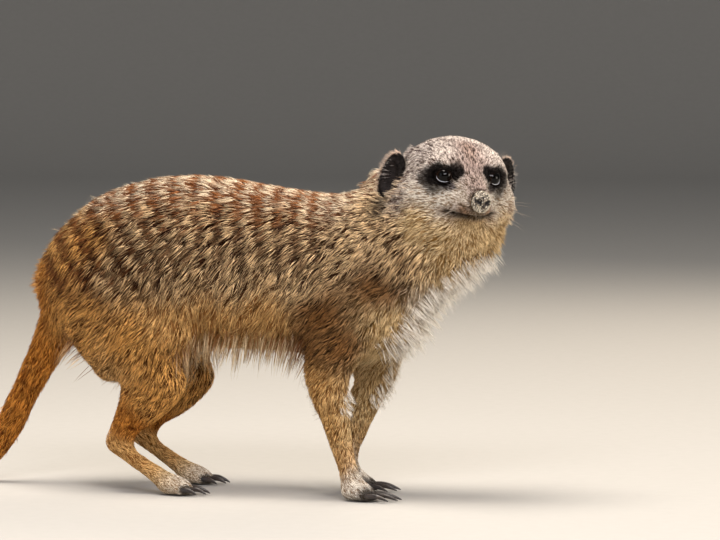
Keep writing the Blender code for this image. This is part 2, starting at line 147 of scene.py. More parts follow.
bm = bmesh.new()
for name in FLESH + ["eye_left", "eye_right", "nose"]:
    bm.from_mesh(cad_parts[name].data)
bmesh.ops.remove_doubles(bm, verts=bm.verts, dist=1e-6)
bm.normal_update()
for v in bm.verts:
    v.co += v.normal * SWELL
skin = object_from("skin", bm)
one_hide = skin.modifiers.new("one_hide", "REMESH")
one_hide.mode = "VOXEL"
one_hide.voxel_size = SKIN_VOXEL
graph = bpy.context.evaluated_depsgraph_get()
joined = bpy.data.meshes.new_from_object(skin.evaluated_get(graph))
skin.modifiers.clear()
skin.data = joined

# The hide is evened out, but only once near the claws, where the toes must stay.
TOE_LENGTH = 15

claws = [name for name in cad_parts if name.startswith("claw")]
claw_middles = KDTree(len(claws))
for n, name in enumerate(claws):
    claw_middles.insert(middle(name), n)
claw_middles.balance()

hide = bmesh.new()
hide.from_mesh(skin.data)
off_toes = [v for v in hide.verts if claw_middles.find(v.co / MM)[2] > TOE_LENGTH]
soften(hide, hide.verts)
soften(hide, off_toes, times=7)

# The face and the toes need a finer mesh than the body, and the lids a finer one again. Each
# round reaches so far in millimetres from the face's middle, from an eye and from a claw.
FACE_MIDDLE = Vector((32, 0, -6))

eye_middles = [middle("eye_left"), middle("eye_right")]
to_head = HEAD.inverted()
for face_reach, eye_reach, claw_reach in ((34, 11, 12), (0, 8.5, 0)):
    finer = []
    for edge in hide.edges:
        place = (edge.verts[0].co + edge.verts[1].co) / (2 * MM)
        on_face = (to_head @ place - FACE_MIDDLE).length < face_reach
        on_lid = min((place - eye).length for eye in eye_middles) < eye_reach
        if on_face or on_lid or claw_middles.find(place)[2] < claw_reach:
            finer.append(edge)
    bmesh.ops.subdivide_edges(hide, edges=finer, cuts=1, use_grid_fill=True)
bmesh.ops.triangulate(hide, faces=[f for f in hide.faces if len(f.verts) > 4])
soften(hide, hide.verts)
hide.to_mesh(skin.data)
hide.free()

# The chart of the coat. Each row is a place on the body, which way the hair lies there, the
# depth of the coat, the length and width of its tufts, and the kind of hair, in millimetres.
# A place off the middle line stands for both sides.
KINDS = ("straw", "grizzle", "gold", "honey", "orange", "umber", "silver", "fawn", "white", "tan",
         "slate", "black")

BODY_CHART = [
    ((143, 14, 182), (-0.85, 0, -0.50), 5.0, 9.0, 0.62, "straw"),
    ((160, 16, 192), (-0.80, 0, -0.50), 4.0, 7.5, 0.65, "silver"),
    ((150, 32, 160), (-0.70, 0, -0.70), 6.0, 10.0, 0.62, "grizzle"),
    ((146, 33, 124), (-0.75, 0, -0.65), 6.5, 10.0, 0.62, "umber"),
    ((120, 36, 150), (-0.80, 0, -0.60), 5.5, 10.0, 0.66, "grizzle"),
    ((182, 10, 140), (-0.30, 0, -0.95), 10.0, 11.0, 0.58, "tan"),
    ((168, 10, 118), (-0.35, 0, -0.93), 9.5, 12.0, 0.60, "white"),
    ((160, 29, 142), (-0.60, 0, -0.80), 7.0, 10.0, 0.60, "grizzle"),
    ((150, 22, 105), (-0.45, 0, -0.90), 6.0, 11.0, 0.58, "tan"),
    ((148, 18, 92), (-0.35, 0, -0.94), 5.0, 9.0, 0.54, "tan"),
    ((135, 0, 90), (-0.80, 0, -0.60), 7.0, 11.0, 0.58, "tan"),
    ((112, 8, 174), (-0.98, 0, -0.15), 5.0, 10.0, 0.64, "straw"),
    ((75, 8, 180), (-1.00, 0, -0.08), 5.0, 11.0, 0.64, "straw"),
    ((38, 10, 184), (-1.00, 0, -0.02), 5.0, 11.0, 0.64, "straw"),
    ((0, 10, 184), (-1.00, 0, -0.10), 5.0, 11.0, 0.64, "straw"),
    ((-30, 10, 174), (-0.95, 0, -0.30), 5.5, 11.0, 0.64, "straw"),
    ((-52, 12, 162), (-0.85, 0, -0.50), 6.0, 11.0, 0.60, "honey"),
    ((-74, 8, 145), (-0.80, 0, -0.55), 6.5, 11.0, 0.58, "gold"),
    ((-76, 12, 125), (-0.70, 0, -0.70), 6.0, 11.0, 0.58, "orange"),
    ((85, 36, 160), (-0.72, 0, -0.70), 5.5, 10.0, 0.66, "grizzle"),
    ((45, 40, 158), (-0.76, 0, -0.65), 5.5, 10.5, 0.66, "grizzle"),
    ((5, 40, 158), (-0.80, 0, -0.60), 5.5, 10.5, 0.66, "grizzle"),
    ((-35, 36, 152), (-0.70, 0, -0.72), 5.5, 10.5, 0.66, "gold"),
    ((100, 40, 132), (-0.66, 0, -0.75), 5.5, 10.5, 0.66, "grizzle"),
    ((60, 45, 132), (-0.55, 0, -0.83), 6.0, 11.5, 0.66, "grizzle"),
    ((20, 46, 130), (-0.55, 0, -0.83), 6.0, 11.5, 0.66, "grizzle"),
    ((-20, 46, 130), (-0.62, 0, -0.78), 5.5, 11.5, 0.66, "grizzle"),
    ((75, 40, 105), (-0.48, 0, -0.88), 6.5, 13.0, 0.62, "honey"),
    ((45, 40, 104), (-0.38, 0, -0.92), 6.5, 14.0, 0.62, "honey"),
    ((20, 40, 104), (-0.20, 0, -0.98), 6.5, 13.0, 0.62, "honey"),
    ((65, 14, 85), (-0.70, 0, -0.50), 6.5, 14.0, 0.58, "tan"),
    ((30, 14, 84), (-0.70, 0, -0.50), 6.5, 14.0, 0.58, "tan"),
    ((0, 10, 84), (-0.60, 0, -0.60), 6.0, 12.0, 0.58, "tan"),
    ((112, 38, 108), (-0.80, 0, -0.60), 4.5, 9.0, 0.60, "umber"),
    ((124, 35, 92), (-0.70, 0, -0.70), 4.5, 9.0, 0.60, "umber"),
    ((100, 36, 88), (-0.75, 0, -0.65), 4.2, 8.5, 0.60, "umber"),
    ((124, 16, 92), (-0.45, 0, -0.88), 4.5, 8.5, 0.58, "tan"),
    ((102, 34, 70), (-0.60, 0, -0.80), 3.8, 7.5, 0.58, "honey"),
    ((-58, 34, 130), (-0.75, 0, -0.66), 5.5, 12.0, 0.60, "gold"),
    ((-30, 44, 112), (-0.80, 0, -0.60), 5.0, 12.0, 0.60, "gold"),
    ((-5, 44, 95), (-0.62, 0, -0.78), 4.8, 11.0, 0.60, "gold"),
    ((-40, 40, 88), (-0.82, 0, -0.57), 5.0, 12.0, 0.60, "gold"),
    ((-62, 30, 98), (-0.70, 0, -0.70), 6.0, 13.0, 0.58, "gold"),
    ((14, 33, 82), (-0.30, 0, -0.95), 4.0, 9.0, 0.58, "gold"),
    ((-20, 10, 95), (-0.30, 0, -0.95), 4.0, 9.0, 0.58, "tan"),
]

LIMB_CHART = [
    ("forearm", (0, 5, 8), (-0.35, 0, -0.93), 2.6, 6.5, 0.52, "honey"),
    ("forearm", (5, -8, 10), (-0.20, 0, -0.98), 2.6, 6.5, 0.52, "tan"),
    ("forearm", (10, -4, 12), (-0.15, 0, -0.98), 2.6, 6.0, 0.50, "tan"),
    ("forearm", (4, 0, -18), (-0.10, 0, -1.0), 2.0, 5.5, 0.48, "honey"),
    ("forepaw", (-2, 0, 6), (0.55, 0, -0.80), 1.2, 4.0, 0.45, "white"),
    ("forepaw", (4, 0, -1), (0.90, 0, -0.40), 0.9, 3.0, 0.40, "white"),
    ("forepaw", (12, 0, -4), (0.95, 0, -0.25), 0.4, 1.7, 0.30, "slate"),
    ("shank", (8, 0, 8), (-0.60, 0, -0.80), 3.2, 7.5, 0.55, "gold"),
    ("shank", (-8, 0, -8), (-0.55, 0, -0.83), 2.6, 6.0, 0.50, "orange"),
    ("hindfoot", (-12, 0, 6), (0.60, 0, -0.60), 1.8, 5.0, 0.48, "honey"),
    ("hindfoot", (2, 0, 0), (0.92, 0, -0.38), 1.3, 4.2, 0.42, "honey"),
    ("hindfoot", (11, 0, -3), (0.95, 0, -0.30), 0.8, 2.8, 0.38, "tan"),
    ("hindfoot", (19, 0, -6), (0.95, 0, -0.25), 0.4, 1.8, 0.30, "white"),
]

HEAD_CHART = [
    ((38, 0, -1), (-1.00, 0.00, 0.25), 0.8, 2.2, 0.34, "fawn"),
    ((34, 8, -9), (-0.95, 0.28, -0.10), 0.8, 2.4, 0.34, "white"),
    ((26, 13, -11), (-0.85, 0.50, -0.15), 1.0, 3.2, 0.36, "white"),
    ((33, 8, -13), (-0.85, 0.35, -0.35), 0.8, 2.4, 0.34, "fawn"),
    ((33, 4, -20), (-0.90, 0.20, -0.35), 1.2, 2.8, 0.34, "tan"),
    ((25, 0, 6), (-0.90, 0.00, 0.45), 0.9, 2.4, 0.34, "fawn"),
    ((14, 0, 18), (-0.80, 0.00, 0.60), 1.4, 3.2, 0.42, "fawn"),
    ((12, 14, 15), (-0.78, 0.35, 0.50), 1.4, 3.2, 0.40, "silver"),
    ((24, 14, -7), (-0.80, 0.58, -0.15), 1.0, 2.8, 0.36, "white"),
    ((10, 25, 3), (-0.80, 0.50, -0.25), 1.4, 3.4, 0.40, "silver"),
    ((-5, 0, 25), (-1.00, 0.00, 0.05), 2.2, 4.5, 0.50, "silver"),
    ((-5, 18, 21), (-0.92, 0.40, -0.05), 2.2, 4.5, 0.50, "silver"),
    ((-28, 8, 16), (-0.90, 0.05, -0.40), 4.0, 7.0, 0.62, "silver"),
    ((-2, 30, 10), (-0.82, 0.45, -0.40), 2.4, 5.0, 0.42, "silver"),
    ((14, 27, -8), (-0.82, 0.48, -0.30), 2.2, 5.5, 0.42, "white"),
    ((6, 34, -13), (-0.80, 0.40, -0.45), 3.2, 6.5, 0.44, "silver"),
    ((14, 25, -22), (-0.75, 0.38, -0.55), 4.0, 8.0, 0.52, "tan"),
    ((-12, 36, -26), (-0.70, 0.20, -0.70), 4.0, 7.5, 0.58, "grizzle"),
    ((20, 10, -27), (-0.85, 0.25, -0.45), 2.8, 6.0, 0.45, "tan"),
    ((6, 10, -38), (-0.65, 0.15, -0.75), 5.5, 10.0, 0.52, "tan"),
]

# The tail's rows follow its bend from the root to the tip on the floor: place, depth and
# kind. Its tufts are longer than the coat is deep by the same length everywhere.
TAIL_LENGTH_OVER_DEPTH, TAIL_WIDTH = 5.5, 0.55
TAIL_CHART = [
    ((-58, 0, 112), 5.0, "orange"),
    ((-77, 0, 78), 4.2, "orange"),
    ((-92, 0, 51), 3.4, "orange"),
    ((-105, 1, 27), 2.8, "orange"),
    ((-122, 3, 11), 2.4, "orange"),
    ((-144, 7, 6), 2.1, "orange"),
    ((-168, 14, 5), 1.9, "orange"),
    ((-190, 24, 4), 1.7, "umber"),
    ((-207, 36, 4), 1.4, "black"),
]


def chart_row(place, lie, depth, length, width, kind):
    share = [1.0 if kind == name else 0.0 for name in KINDS]
    return [*place, *Vector(lie).normalized(), depth, length, width, *share]


def read_rows():
    """All the chart's rows, in the frame's millimetres, those of both sides written out."""
    rows = []
    for (x, y, z), lie, *coat in BODY_CHART:
        for side in SIDES.values() if y else (1,):
            rows.append(chart_row((x, side * y, z), lie, *coat))
    for limb, (x, y, z), lie, *coat in LIMB_CHART:
        for name, side in SIDES.items():
            place = middle(f"{limb}_{name}") + Vector((x, side * y, z))
            rows.append(chart_row(place, lie, *coat))
    for (x, y, z), lie, *coat in HEAD_CHART:
        for side in SIDES.values() if y else (1,):
            turned = HEAD.to_3x3() @ Vector((lie[0], side * lie[1], lie[2]))
            rows.append(chart_row(HEAD @ Vector((x, side * y, z)), turned, *coat))
    for n, (place, depth, kind) in enumerate(TAIL_CHART):
        ahead = TAIL_CHART[min(n + 1, len(TAIL_CHART) - 1)][0]
        behind = TAIL_CHART[max(n - 1, 0)][0]
        lie = Vector(ahead) - Vector(behind)
        length = TAIL_LENGTH_OVER_DEPTH + depth
        rows.append(chart_row(place, lie, depth, length, TAIL_WIDTH, kind))
    return np.array(rows)


CHART = read_rows()


def read_chart(points, softness=7.0, sharpness=2.6):
    """The coat at some points, blended from the chart's rows, near rows counting most."""
    total = np.zeros((len(points), 1))
    coat = np.zeros((len(points), CHART.shape[1] - 3))
    for row in CHART:
        near = ((points - row[:3]) ** 2).sum(1, keepdims=True) + softness**2
        weight = near**-sharpness
        total += weight
        coat += weight * row[3:]
    return coat / total


def read(items, name, kind, per):
    """One value of all the vertices, corners or faces of a mesh, in rows of so many numbers."""
    numbers = np.empty(len(items) * per, kind)
    items.foreach_get(name, numbers)
    return numbers.reshape(-1, per)


def mesh_arrays(mesh):
    """A mesh's vertices in millimetres, and their normals."""
    places = read(mesh.vertices, "co", np.float32, 3).astype(float) / MM
    return places, read(mesh.vertex_normals, "vector", np.float32, 3).astype(float)


def set_places(mesh, points):
    mesh.vertices.foreach_set("co", (points * MM).astype(np.float32).ravel())
    mesh.update()


# The hide is pressed in by the coat's depth, and evened out again.
outline, outward = mesh_arrays(skin.data)
depth = read_chart(outline)[:, 3]
set_places(skin.data, outline - outward * (depth + SWELL / MM)[:, None])

pressed = bmesh.new()
pressed.from_mesh(skin.data)
soften(pressed, pressed.verts, times=3, factor=0.4)
pressed.to_mesh(skin.data)
pressed.free()

# The lids close round each eye in an oval, with a thick dark edge that stands off the ball.
# Inside the opening the hide is sunk below the ball's surface.
EYE_RADIUS = 5.3
EYE_OPENING = (math.radians(66), math.radians(41))
GAZE = math.radians(28)
LID_RADIUS = EYE_RADIUS + 0.75
SUNK_RADIUS = 4.3
LID_REACH = 10.5
UP = np.array([0, 0, 1.0])


def eye_axes(side):
    """The eye's middle and its level axes in the head: out along the gaze, and back."""
    centre = middle_in_head("eye_left" if side > 0 else "eye_right")
    gaze = np.array([math.cos(GAZE), side * math.sin(GAZE), 0.0])
    back = np.array([-math.sin(GAZE), side * math.cos(GAZE), 0.0])
    return centre, gaze, back


def round_the_eye(local, side):
    """For places in the head: distance from the eye's middle, how far out of its opening, and
    the direction and the middle that they are seen from."""
    centre, gaze, back = eye_axes(side)
    away = local - centre
    distance = lengths(away)
    toward = away / np.maximum(distance, 1e-6)[:, None]
    across = np.arctan2(toward @ back, toward @ gaze)
    tall = np.arcsin(np.clip(toward @ UP, -1, 1))
    opening = np.hypot(across / EYE_OPENING[0], tall / EYE_OPENING[1])
    return distance, opening, toward, centre


points, outward = mesh_arrays(skin.data)
local = in_head(points)
for side in SIDES.values():
    distance, opening, toward, centre = round_the_eye(local, side)
    edge = SUNK_RADIUS + (LID_RADIUS - SUNK_RADIUS) * ease(opening, 0.9, 1.1)
    out_of_lid = np.maximum(distance, LID_RADIUS) - LID_RADIUS
    beyond = LID_RADIUS + out_of_lid * ease(opening, 1.12, 1.75)
    lidded = centre + toward * np.where(opening < 1.12, edge, beyond)[:, None]
    local = np.where((distance < LID_REACH)[:, None], lidded, local)

# The lips meet in a crease that curves back from under the nose to the corners of the mouth,
# with a low roll along the upper lip.
MOUTH_HALF = 15.0
MOUTH_LEVEL = -15.3
HEAD_REACH = 60


def from_mouth(local):
    """How far above the line of the lips a place lies, and how much of the crease is there."""
    aside = np.abs(local[:, 1]) / MOUTH_HALF
    line = MOUTH_LEVEL - 0.6 * np.sin(np.pi * np.clip(aside, 0, 1)) + 0.5 * ease(aside, 0.7, 1.2)
    return local[:, 2] - line, ease(local[:, 0], 21, 27) * (1 - ease(aside, 0.85, 1.1))


above_lips, at_lips = from_mouth(local)
crease = 1.4 * bell(above_lips, 0.85) - 0.35 * bell(above_lips - 2.0, 1.3)
local = local - outward @ HEAD_TURN * (crease * at_lips)[:, None]
on_head = (lengths(local) < HEAD_REACH)[:, None]
points = np.where(on_head, from_head(local), points)

# The hide tucks in under the bare nose.
NOSE_MIDDLE = middle_in_head("nose")
NOSE_RADII = np.array([5.2, 5.6, 6.2])


def from_nose(local):
    """How far out of the nose pad places in the head lie: 1 at its surface."""
    return lengths((local - NOSE_MIDDLE) / NOSE_RADII)


tuck = 0.45 * (1 - ease(from_nose(local), 0.95, 1.12))
points = np.where(on_head, from_head(local + (NOSE_MIDDLE - local) * tuck[:, None]), points)

# It parts between the toes, and folds at the throat, before the shoulder, behind the elbow
# and at the groin, on both sides. Each line has its start and end, its depth and its width.
FOLDS = [
    ((187, 31, 153), (175, 28, 131), 1.7, 1.9),
    ((166, 31, 131), (149, 30, 113), 1.5, 2.4),
    ((92, 39, 108), (84, 35, 88), 1.2, 2.2),
    ((27, 41, 104), (14, 34, 86), 1.3, 2.2),
]
THROAT, GROIN = FOLDS[0][:2], FOLDS[3][:2]
TOE_GAP = (1.6, 1.0)
FLOOR_GAP = 0.35


def segment_distance(places, start, end):
    start, end = np.array(start, float), np.array(end, float)
    run = end - start
    share = np.clip((places - start) @ run / (run @ run), 0, 1)
    return lengths(places - start - share[:, None] * run)


def line_share(places, start, end, wide):
    """1 on a line, and down to nothing beside it over about its width."""
    return bell(segment_distance(places, start, end), wide)


def on_left(places):
    """Places, with those of the right side mirrored to the left."""
    return np.where((False, True, False), np.abs(places), places)


both_sides = on_left(points)
for paw in ("forepaw", "hindfoot"):
    for side in SIDES:
        toes = [middle(f"claw_{paw[:4]}_{side}_{n}") for n in (1, 2, 3, 4)]
        for toe, next_toe in zip(toes, toes[1:]):
            ahead = (toe + next_toe) / 2
            behind = ahead.lerp(middle(f"{paw}_{side}"), 0.9)
            gap = line_share(points, ahead, behind, TOE_GAP[1]) * (points[:, 2] > 2)
            points -= outward * (TOE_GAP[0] * gap)[:, None]
for start, end, sunk, wide in FOLDS:
    points -= outward * (sunk * line_share(both_sides, start, end, wide))[:, None]
points[:, 2] = np.maximum(points[:, 2], FLOOR_GAP)
set_places(skin.data, points)

# The markings. The eye patches, the lips, the toes and the broken bands across the back are
# written on the hide itself, and the coat takes them from there. So is painted shade: black
# under the ears, and umber under the nose, before the shoulder, along the throat and groin
# folds and behind the cheek ruff.
points, outward = mesh_arrays(skin.data)
local = in_head(points)
coat = read_chart(points)
lie, depth, length, width = coat[:, :3], coat[:, 3], coat[:, 4], coat[:, 5]
kinds = coat[:, 6:].copy()


def mottle(points, grain, shift=0.0):
    """Smooth noise from -1 to 1, with patches about as wide as the grain in millimetres."""
    return np.array([noise.noise(Vector(p) / grain + Vector((shift, 0, 0))) for p in points])


def spot(places, centre, radii, ragged, start, end, force):
    """An oval spot on both sides, of full force up to its start and gone at its end, which are
    shares of its radii. What is ragged moves its edge."""
    away = lengths((on_left(places) - centre) / radii)
    return force * (1 - ease(away + ragged, start, end))


rough = mottle(points, 2.6)
patchy = mottle(points, 9.0, 31)

EYE_PATCHES = [
    ((18, 15.6, 2.6), (13, 7.2, 6.4), 1.0),
    ((14, 20.5, 1.0), (9, 4.6, 4.6), 0.8),
    ((26, 8.4, 5.2), (7, 3.5, 5.0), 1.0),
    ((20, 18.5, -2.5), (8, 5.4, 4.2), 0.85),
    ((20, 17.5, -6.2), (8, 4.6, 3.0), 0.5),
]
LONG_CLAW_TOE, SHORT_CLAW_TOE = 14.5, 8.0
DARK_LID_REACH = 9

slate = spot(local, (24, 11.5, -2.2), (8, 4.2, 3.6), 0.15 * rough, 0.6, 1.15, 0.85)
above_lips, at_lips = from_mouth(local)
round_nose = from_nose(local)
eye_patch = [spot(local, centre, radii, 0.22 * rough, 0.80, 1.14, force)
             for centre, radii, force in EYE_PATCHES]
dark = [
    np.maximum.reduce(eye_patch) * (1 - slate),
    # Painted shade under each ear, in black.
    spot(local, (-7, 37, -21), (6, 8, 8), 0.2 * rough, 0.6, 1.3, 0.75),
    0.95 * at_lips * bell(above_lips + 0.4, 1.5),
    0.85 * (1 - ease(round_nose, 1.08, 1.26)),
]
for side in SIDES.values():
    distance, opening = round_the_eye(local, side)[:2]
    dark.append((distance < DARK_LID_REACH) * (1 - ease(opening, 1.35, 1.7)))
for claw in claws:
    reach = lengths(points - np.array(middle(claw))) + 1.5 * rough
    toe = LONG_CLAW_TOE if "fore" in claw else SHORT_CLAW_TOE
    dark.append(0.85 * (1 - ease(reach, toe * 0.7, toe)))
black = np.maximum.reduce(dark)

# Umber on the hide: the lower lip, the corners of the lips and the brow stripe are its own colour,
# the rest is painted shade.
umber = 0.25 * at_lips * bell(above_lips + 2.8, 1.5) * (1 + 0.8 * rough)
# Painted shade under the nose, in umber.
umber += spot(local, (38, 5.5, -12.5), (6, 4.5, 3.2), 0.25 * rough, 0.5, 1.25, 0.7)
umber += spot(local, (27, 14, -15.5), (5, 4.5, 2.2), 0.25 * rough, 0.5, 1.3, 0.55)
# Painted shade in umber: before the shoulder, along the throat and groin folds, and behind the cheek
# ruff.
shadow = spot(points, (156, 30, 123), (9, 9, 13), 0.25 * patchy, 0.3, 1.2, 0.85)
both_sides, cheeks = on_left(points), on_left(local)
for places, (start, end), wide, force in (
        (both_sides, THROAT, 1.8, 0.7), (both_sides, GROIN, 3.0, 0.6),
        (cheeks, ((-13, 36, -26), (9, 27, -42)), 4.0, 0.6)):
    shadow = np.maximum(shadow, force * line_share(places, start, end, wide))
umber += shadow
umber += spot(local, (16, 0, 14), (12, 4.5, 10), 0.3 * rough, 0.4, 1.2, 0.2)
# The umber and black shares carry this painted shade as well as the markings.
for name, share in (("umber", np.clip(umber, 0, 0.9)), ("slate", slate), ("black", black)):
    kinds *= (1 - share)[:, None]
    kinds[:, KINDS.index(name)] += share

# The bands: each leans forward as it comes down the flank, and they crowd together towards
# the shoulders. They are rusty on the back and the rump, dark and broken on the flank, and
# gone below it.
BAND_WIDE, BAND_CROWDING, BAND_NARROWEST = 14.2, 0.05, 3.0
BAND_LEAN = 22
FIRST_BAND = -21
BACK_HEIGHT = 185


def band_count(along_back):
    """How many bands there are up to a place on the back, each narrower than the one behind."""
    wide = np.maximum(BAND_WIDE - BAND_CROWDING * along_back, BAND_NARROWEST)
    return -np.log(wide) / BAND_CROWDING


x, z = points[:, 0], points[:, 2]
drop = BACK_HEIGHT - z
upright = ease(x, -10, 60)
straight = x - drop * (1 - upright) - BAND_LEAN * (1 - np.exp(-drop / BAND_LEAN)) * upright
turns = band_count(straight) - band_count(FIRST_BAND)
wave = np.cos(2 * np.pi * turns + 1.1 * mottle(points, 15, 7))
band = ease(wave + 0.3 * mottle(points, 2.2, 19), -0.4, 0.25)
band *= 0.55 + 0.45 * ease(patchy + 0.35 * mottle(points, 4.5, 55), -0.6, -0.15)
lower_end = 118 + 16 * upright
strongest = np.maximum(ease(z, 140, 165), 1 - upright)
band *= ease(z, lower_end - 14, lower_end + 12) * (0.75 + 0.25 * strongest)
band *= ease(x, -74, -58) * (1 - ease(x, 108, 122))
rusty = np.maximum(ease(z, 148, 170), 0.6 * ease(-x, 5, 45))

# The hair parts and curls a little, so its lie wavers from place to place.
sway = 0.30 * mottle(points, 13, 91) + 0.16 * mottle(points, 5, 43)


def along_surface(lie, normal):
    """Directions laid flat on the surface."""
    return unit(lie - normal * (lie * normal).sum(1)[:, None])


lie = along_surface(lie, outward)
lie = unit(lie * np.cos(sway)[:, None] + np.cross(outward, lie) * np.sin(sway)[:, None])


def write_attributes(mesh, values):
    for name, numbers in values.items():
        mesh.attributes.new(name, "FLOAT", "POINT")
        mesh.attributes[name].data.foreach_set("value", numbers.astype(np.float32))


marks = {name: kinds[:, n] for n, name in enumerate(KINDS)}
write_attributes(skin.data, {**marks, "band": band, "rusty": rusty})

# An unwrap of the hide's own shape; each tuft of the coat is given a small patch on it at its root.
bpy.context.view_layer.objects.active = skin
skin.select_set(True)
bpy.ops.object.mode_set(mode="EDIT")
bpy.ops.mesh.select_all(action="SELECT")
bpy.ops.uv.smart_project(angle_limit=math.radians(70), island_margin=0.002)
bpy.ops.object.mode_set(mode="OBJECT")
skin.data.uv_layers[0].name = "OFBake"

# Colours of each kind of hair, at its tip and at its root. Each hair is dark below and pale
# above, which gives the grizzled look.
HAIR = {
    "straw": ("#FFEFD0", "#7F4A25"),
    "grizzle": ("#FBD8A6", "#361806"),
    "gold": ("#F8BC6A", "#522809"),
    "honey": ("#F0C27E", "#8C5A28"),
    "orange": ("#E49A42", "#703708"),
    "umber": ("#9C6C3C", "#1E0D03"),
    "silver": ("#E9DDD3", "#54403A"),
    "fawn": ("#B7A198", "#3B2A25"),
    "white": ("#FDF7EC", "#967C5E"),
    "tan": ("#F6DAA8", "#94703C"),
    "slate": ("#6E6468", "#2A2427"),
    "black": ("#1F1815", "#080504"),
}
RUST = ("#A4683A", "#46200C")
DUSK = ("#6A3F1E", "#1C0B03")


def linear(code):
    """A hex colour as linear light, opaque."""
    parts = [int(code[i:i + 2], 16) / 255 for i in (1, 3, 5)]
    return [*(c / 12.92 if c <= 0.04045 else ((c + 0.055) / 1.055) ** 2.4 for c in parts), 1]


def add(tree, kind, settings=None, **links):
    """Adds a node, with its settings, and values or links for its inputs by name or number."""
    node = tree.nodes.new(kind)
    for name, value in (settings or {}).items():
        setattr(node, name, value)
    for name, value in links.items():
        socket = node.inputs[int(name[1:]) if name[1:].isdigit() else name.replace("_", " ")]
        if isinstance(value, bpy.types.NodeSocket):
            tree.links.new(value, socket)
        else:
            socket.default_value = value
    return node


def new_material(name, **settings):
    """A material, its node tree and its shader, with settings on the shader's own sockets."""
    material = bpy.data.materials.new(name)
    material.use_nodes = True
    shader = material.node_tree.nodes["Principled BSDF"]
    for socket, value in settings.items():
        shader.inputs[socket.replace("_", " ")].default_value = value
    return material, material.node_tree, shader


def hair_colour(tree, along, tone):
    """The colour of the coat: each kind's root and tip colours by its share, then the bands.
    along runs from 0 at the root to 1 at the tip, and tone is 0 on a dark hair, 1 on a pale."""
    banded = add(tree, "ShaderNodeAttribute", {"attribute_name": "band"}).outputs["Fac"]
    rusted = add(tree, "ShaderNodeAttribute", {"attribute_name": "rusty"}).outputs["Fac"]
    ends = []
    for end in (0, 1):
        plain = None
        for kind, colours in HAIR.items():
            share = add(tree, "ShaderNodeAttribute", {"attribute_name": kind}).outputs["Fac"]
            plain = add(tree, "ShaderNodeVectorMath", {"operation": "MULTIPLY_ADD"}, _0=share,
                        _1=linear(colours[end])[:3], _2=plain or (0, 0, 0)).outputs[0]
        dark = add(tree, "ShaderNodeMix", {"data_type": "RGBA"}, _0=rusted,
                   _6=linear(DUSK[end]), _7=linear(RUST[end])).outputs[2]
        ends.append(add(tree, "ShaderNodeMix", {"data_type": "RGBA"}, _0=banded,
                        _6=plain, _7=dark).outputs[2])
    reach = add(tree, "ShaderNodeMath", {"operation": "MULTIPLY_ADD"},
                _0=along, _1=0.75, _2=tone).outputs[0]
    pale = add(tree, "ShaderNodeMapRange", {"interpolation_type": "SMOOTHSTEP"},
               Value=reach, From_Min=0.62, From_Max=1.22).outputs[0]
    return add(tree, "ShaderNodeMix", {"data_type": "RGBA"}, _0=pale,
               _6=ends[1], _7=ends[0]).outputs[2]


def grained(tree, grain, detail, span=None):
    """A pattern in patches of a size in millimetres, its span drawn out to the full range."""
    where = add(tree, "ShaderNodeTexCoord").outputs["Object"]
    pattern = add(tree, "ShaderNodeTexNoise", None, Vector=where, Scale=1 / (grain * MM),
                  Detail=detail).outputs["Fac"]
    if span:
        pattern = add(tree, "ShaderNodeMapRange", None, Value=pattern, From_Min=span[0],
                      From_Max=span[1]).outputs[0]
    return pattern


# Hide under fur: matt, the colour of the hair roots, with the fine grain of shaved fur.
hide_stuff, tree, shader = new_material("furred_hide", Roughness=0.8, Specular_IOR_Level=0.05)
speck = grained(tree, 0.9, 3, (0.35, 0.65))
tree.links.new(hair_colour(tree, 0.12, speck), shader.inputs["Base Color"])
bump = add(tree, "ShaderNodeBump", None, Strength=0.5, Distance=0.3 * MM, Height=speck)
tree.links.new(bump.outputs[0], shader.inputs["Normal"])
skin.data.materials.clear()
skin.data.materials.append(hide_stuff)
skin.data.polygons.foreach_set("use_smooth", [True] * len(skin.data.polygons))

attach(skin, "root")
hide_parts(*FLESH)


# ------------------------------------------------------------------------------------ coat
# The coat is hair in tufts, a soft dark wool with pale-tipped hairs over it. Each tuft is a
# slim three-sided spike rooted in the hide, which bends over and lies along the body.

# Hair grows so thick that the tufts' own area covers the skin COVER times over, up to a most
# in a square millimetre.
TUFTS = 222_000
COVER = 4.6
MOST_IN_MM2 = 5.5
BARE_LID_REACH = 8
PATCH = 0.003

rng = np.random.default_rng(17)

skin.data.calc_loop_triangles()
corners = read(skin.data.loop_triangles, "vertices", np.int32, 3)
loops = read(skin.data.loop_triangles, "loops", np.int32, 3)
unwrap = read(skin.data.uv_layers["OFBake"].data, "uv", np.float32, 2)

# It grows all over, but not inside the eyelids, on the lips' edges, on the nose or under the
# soles.
bare_parts = [at_lips * bell(above_lips, 0.6), 1 - ease(round_nose, 1.06, 1.18),
              1 - ease(points[:, 2], 0.8, 1.6)]
for side in SIDES.values():
    distance, opening = round_the_eye(local, side)[:2]
    bare_parts.append((distance < BARE_LID_REACH) * (1 - ease(opening, 1.12, 1.3)))
bare = np.maximum.reduce(bare_parts)
growth = np.minimum(COVER / (0.55 * width * length), MOST_IN_MM2) * (1 - bare)

first, second, third = (points[corners[:, n]] for n in range(3))
areas = 0.5 * lengths(np.cross(second - first, third - first))
expected = np.cumsum(areas * growth[corners].mean(1))


def root_places(amount, chances):
    """Picks places on the hide by chance: the triangle, and the weights of its corners."""
    chosen = (np.arange(amount) + rng.random(amount)) / amount * chances[-1]
    triangle = np.minimum(np.searchsorted(chances, chosen), len(chances) - 1)
    far, turn = np.sqrt(rng.random(amount)), rng.random(amount)
    return triangle, np.stack([1 - far, far * (1 - turn), far * turn], 1)


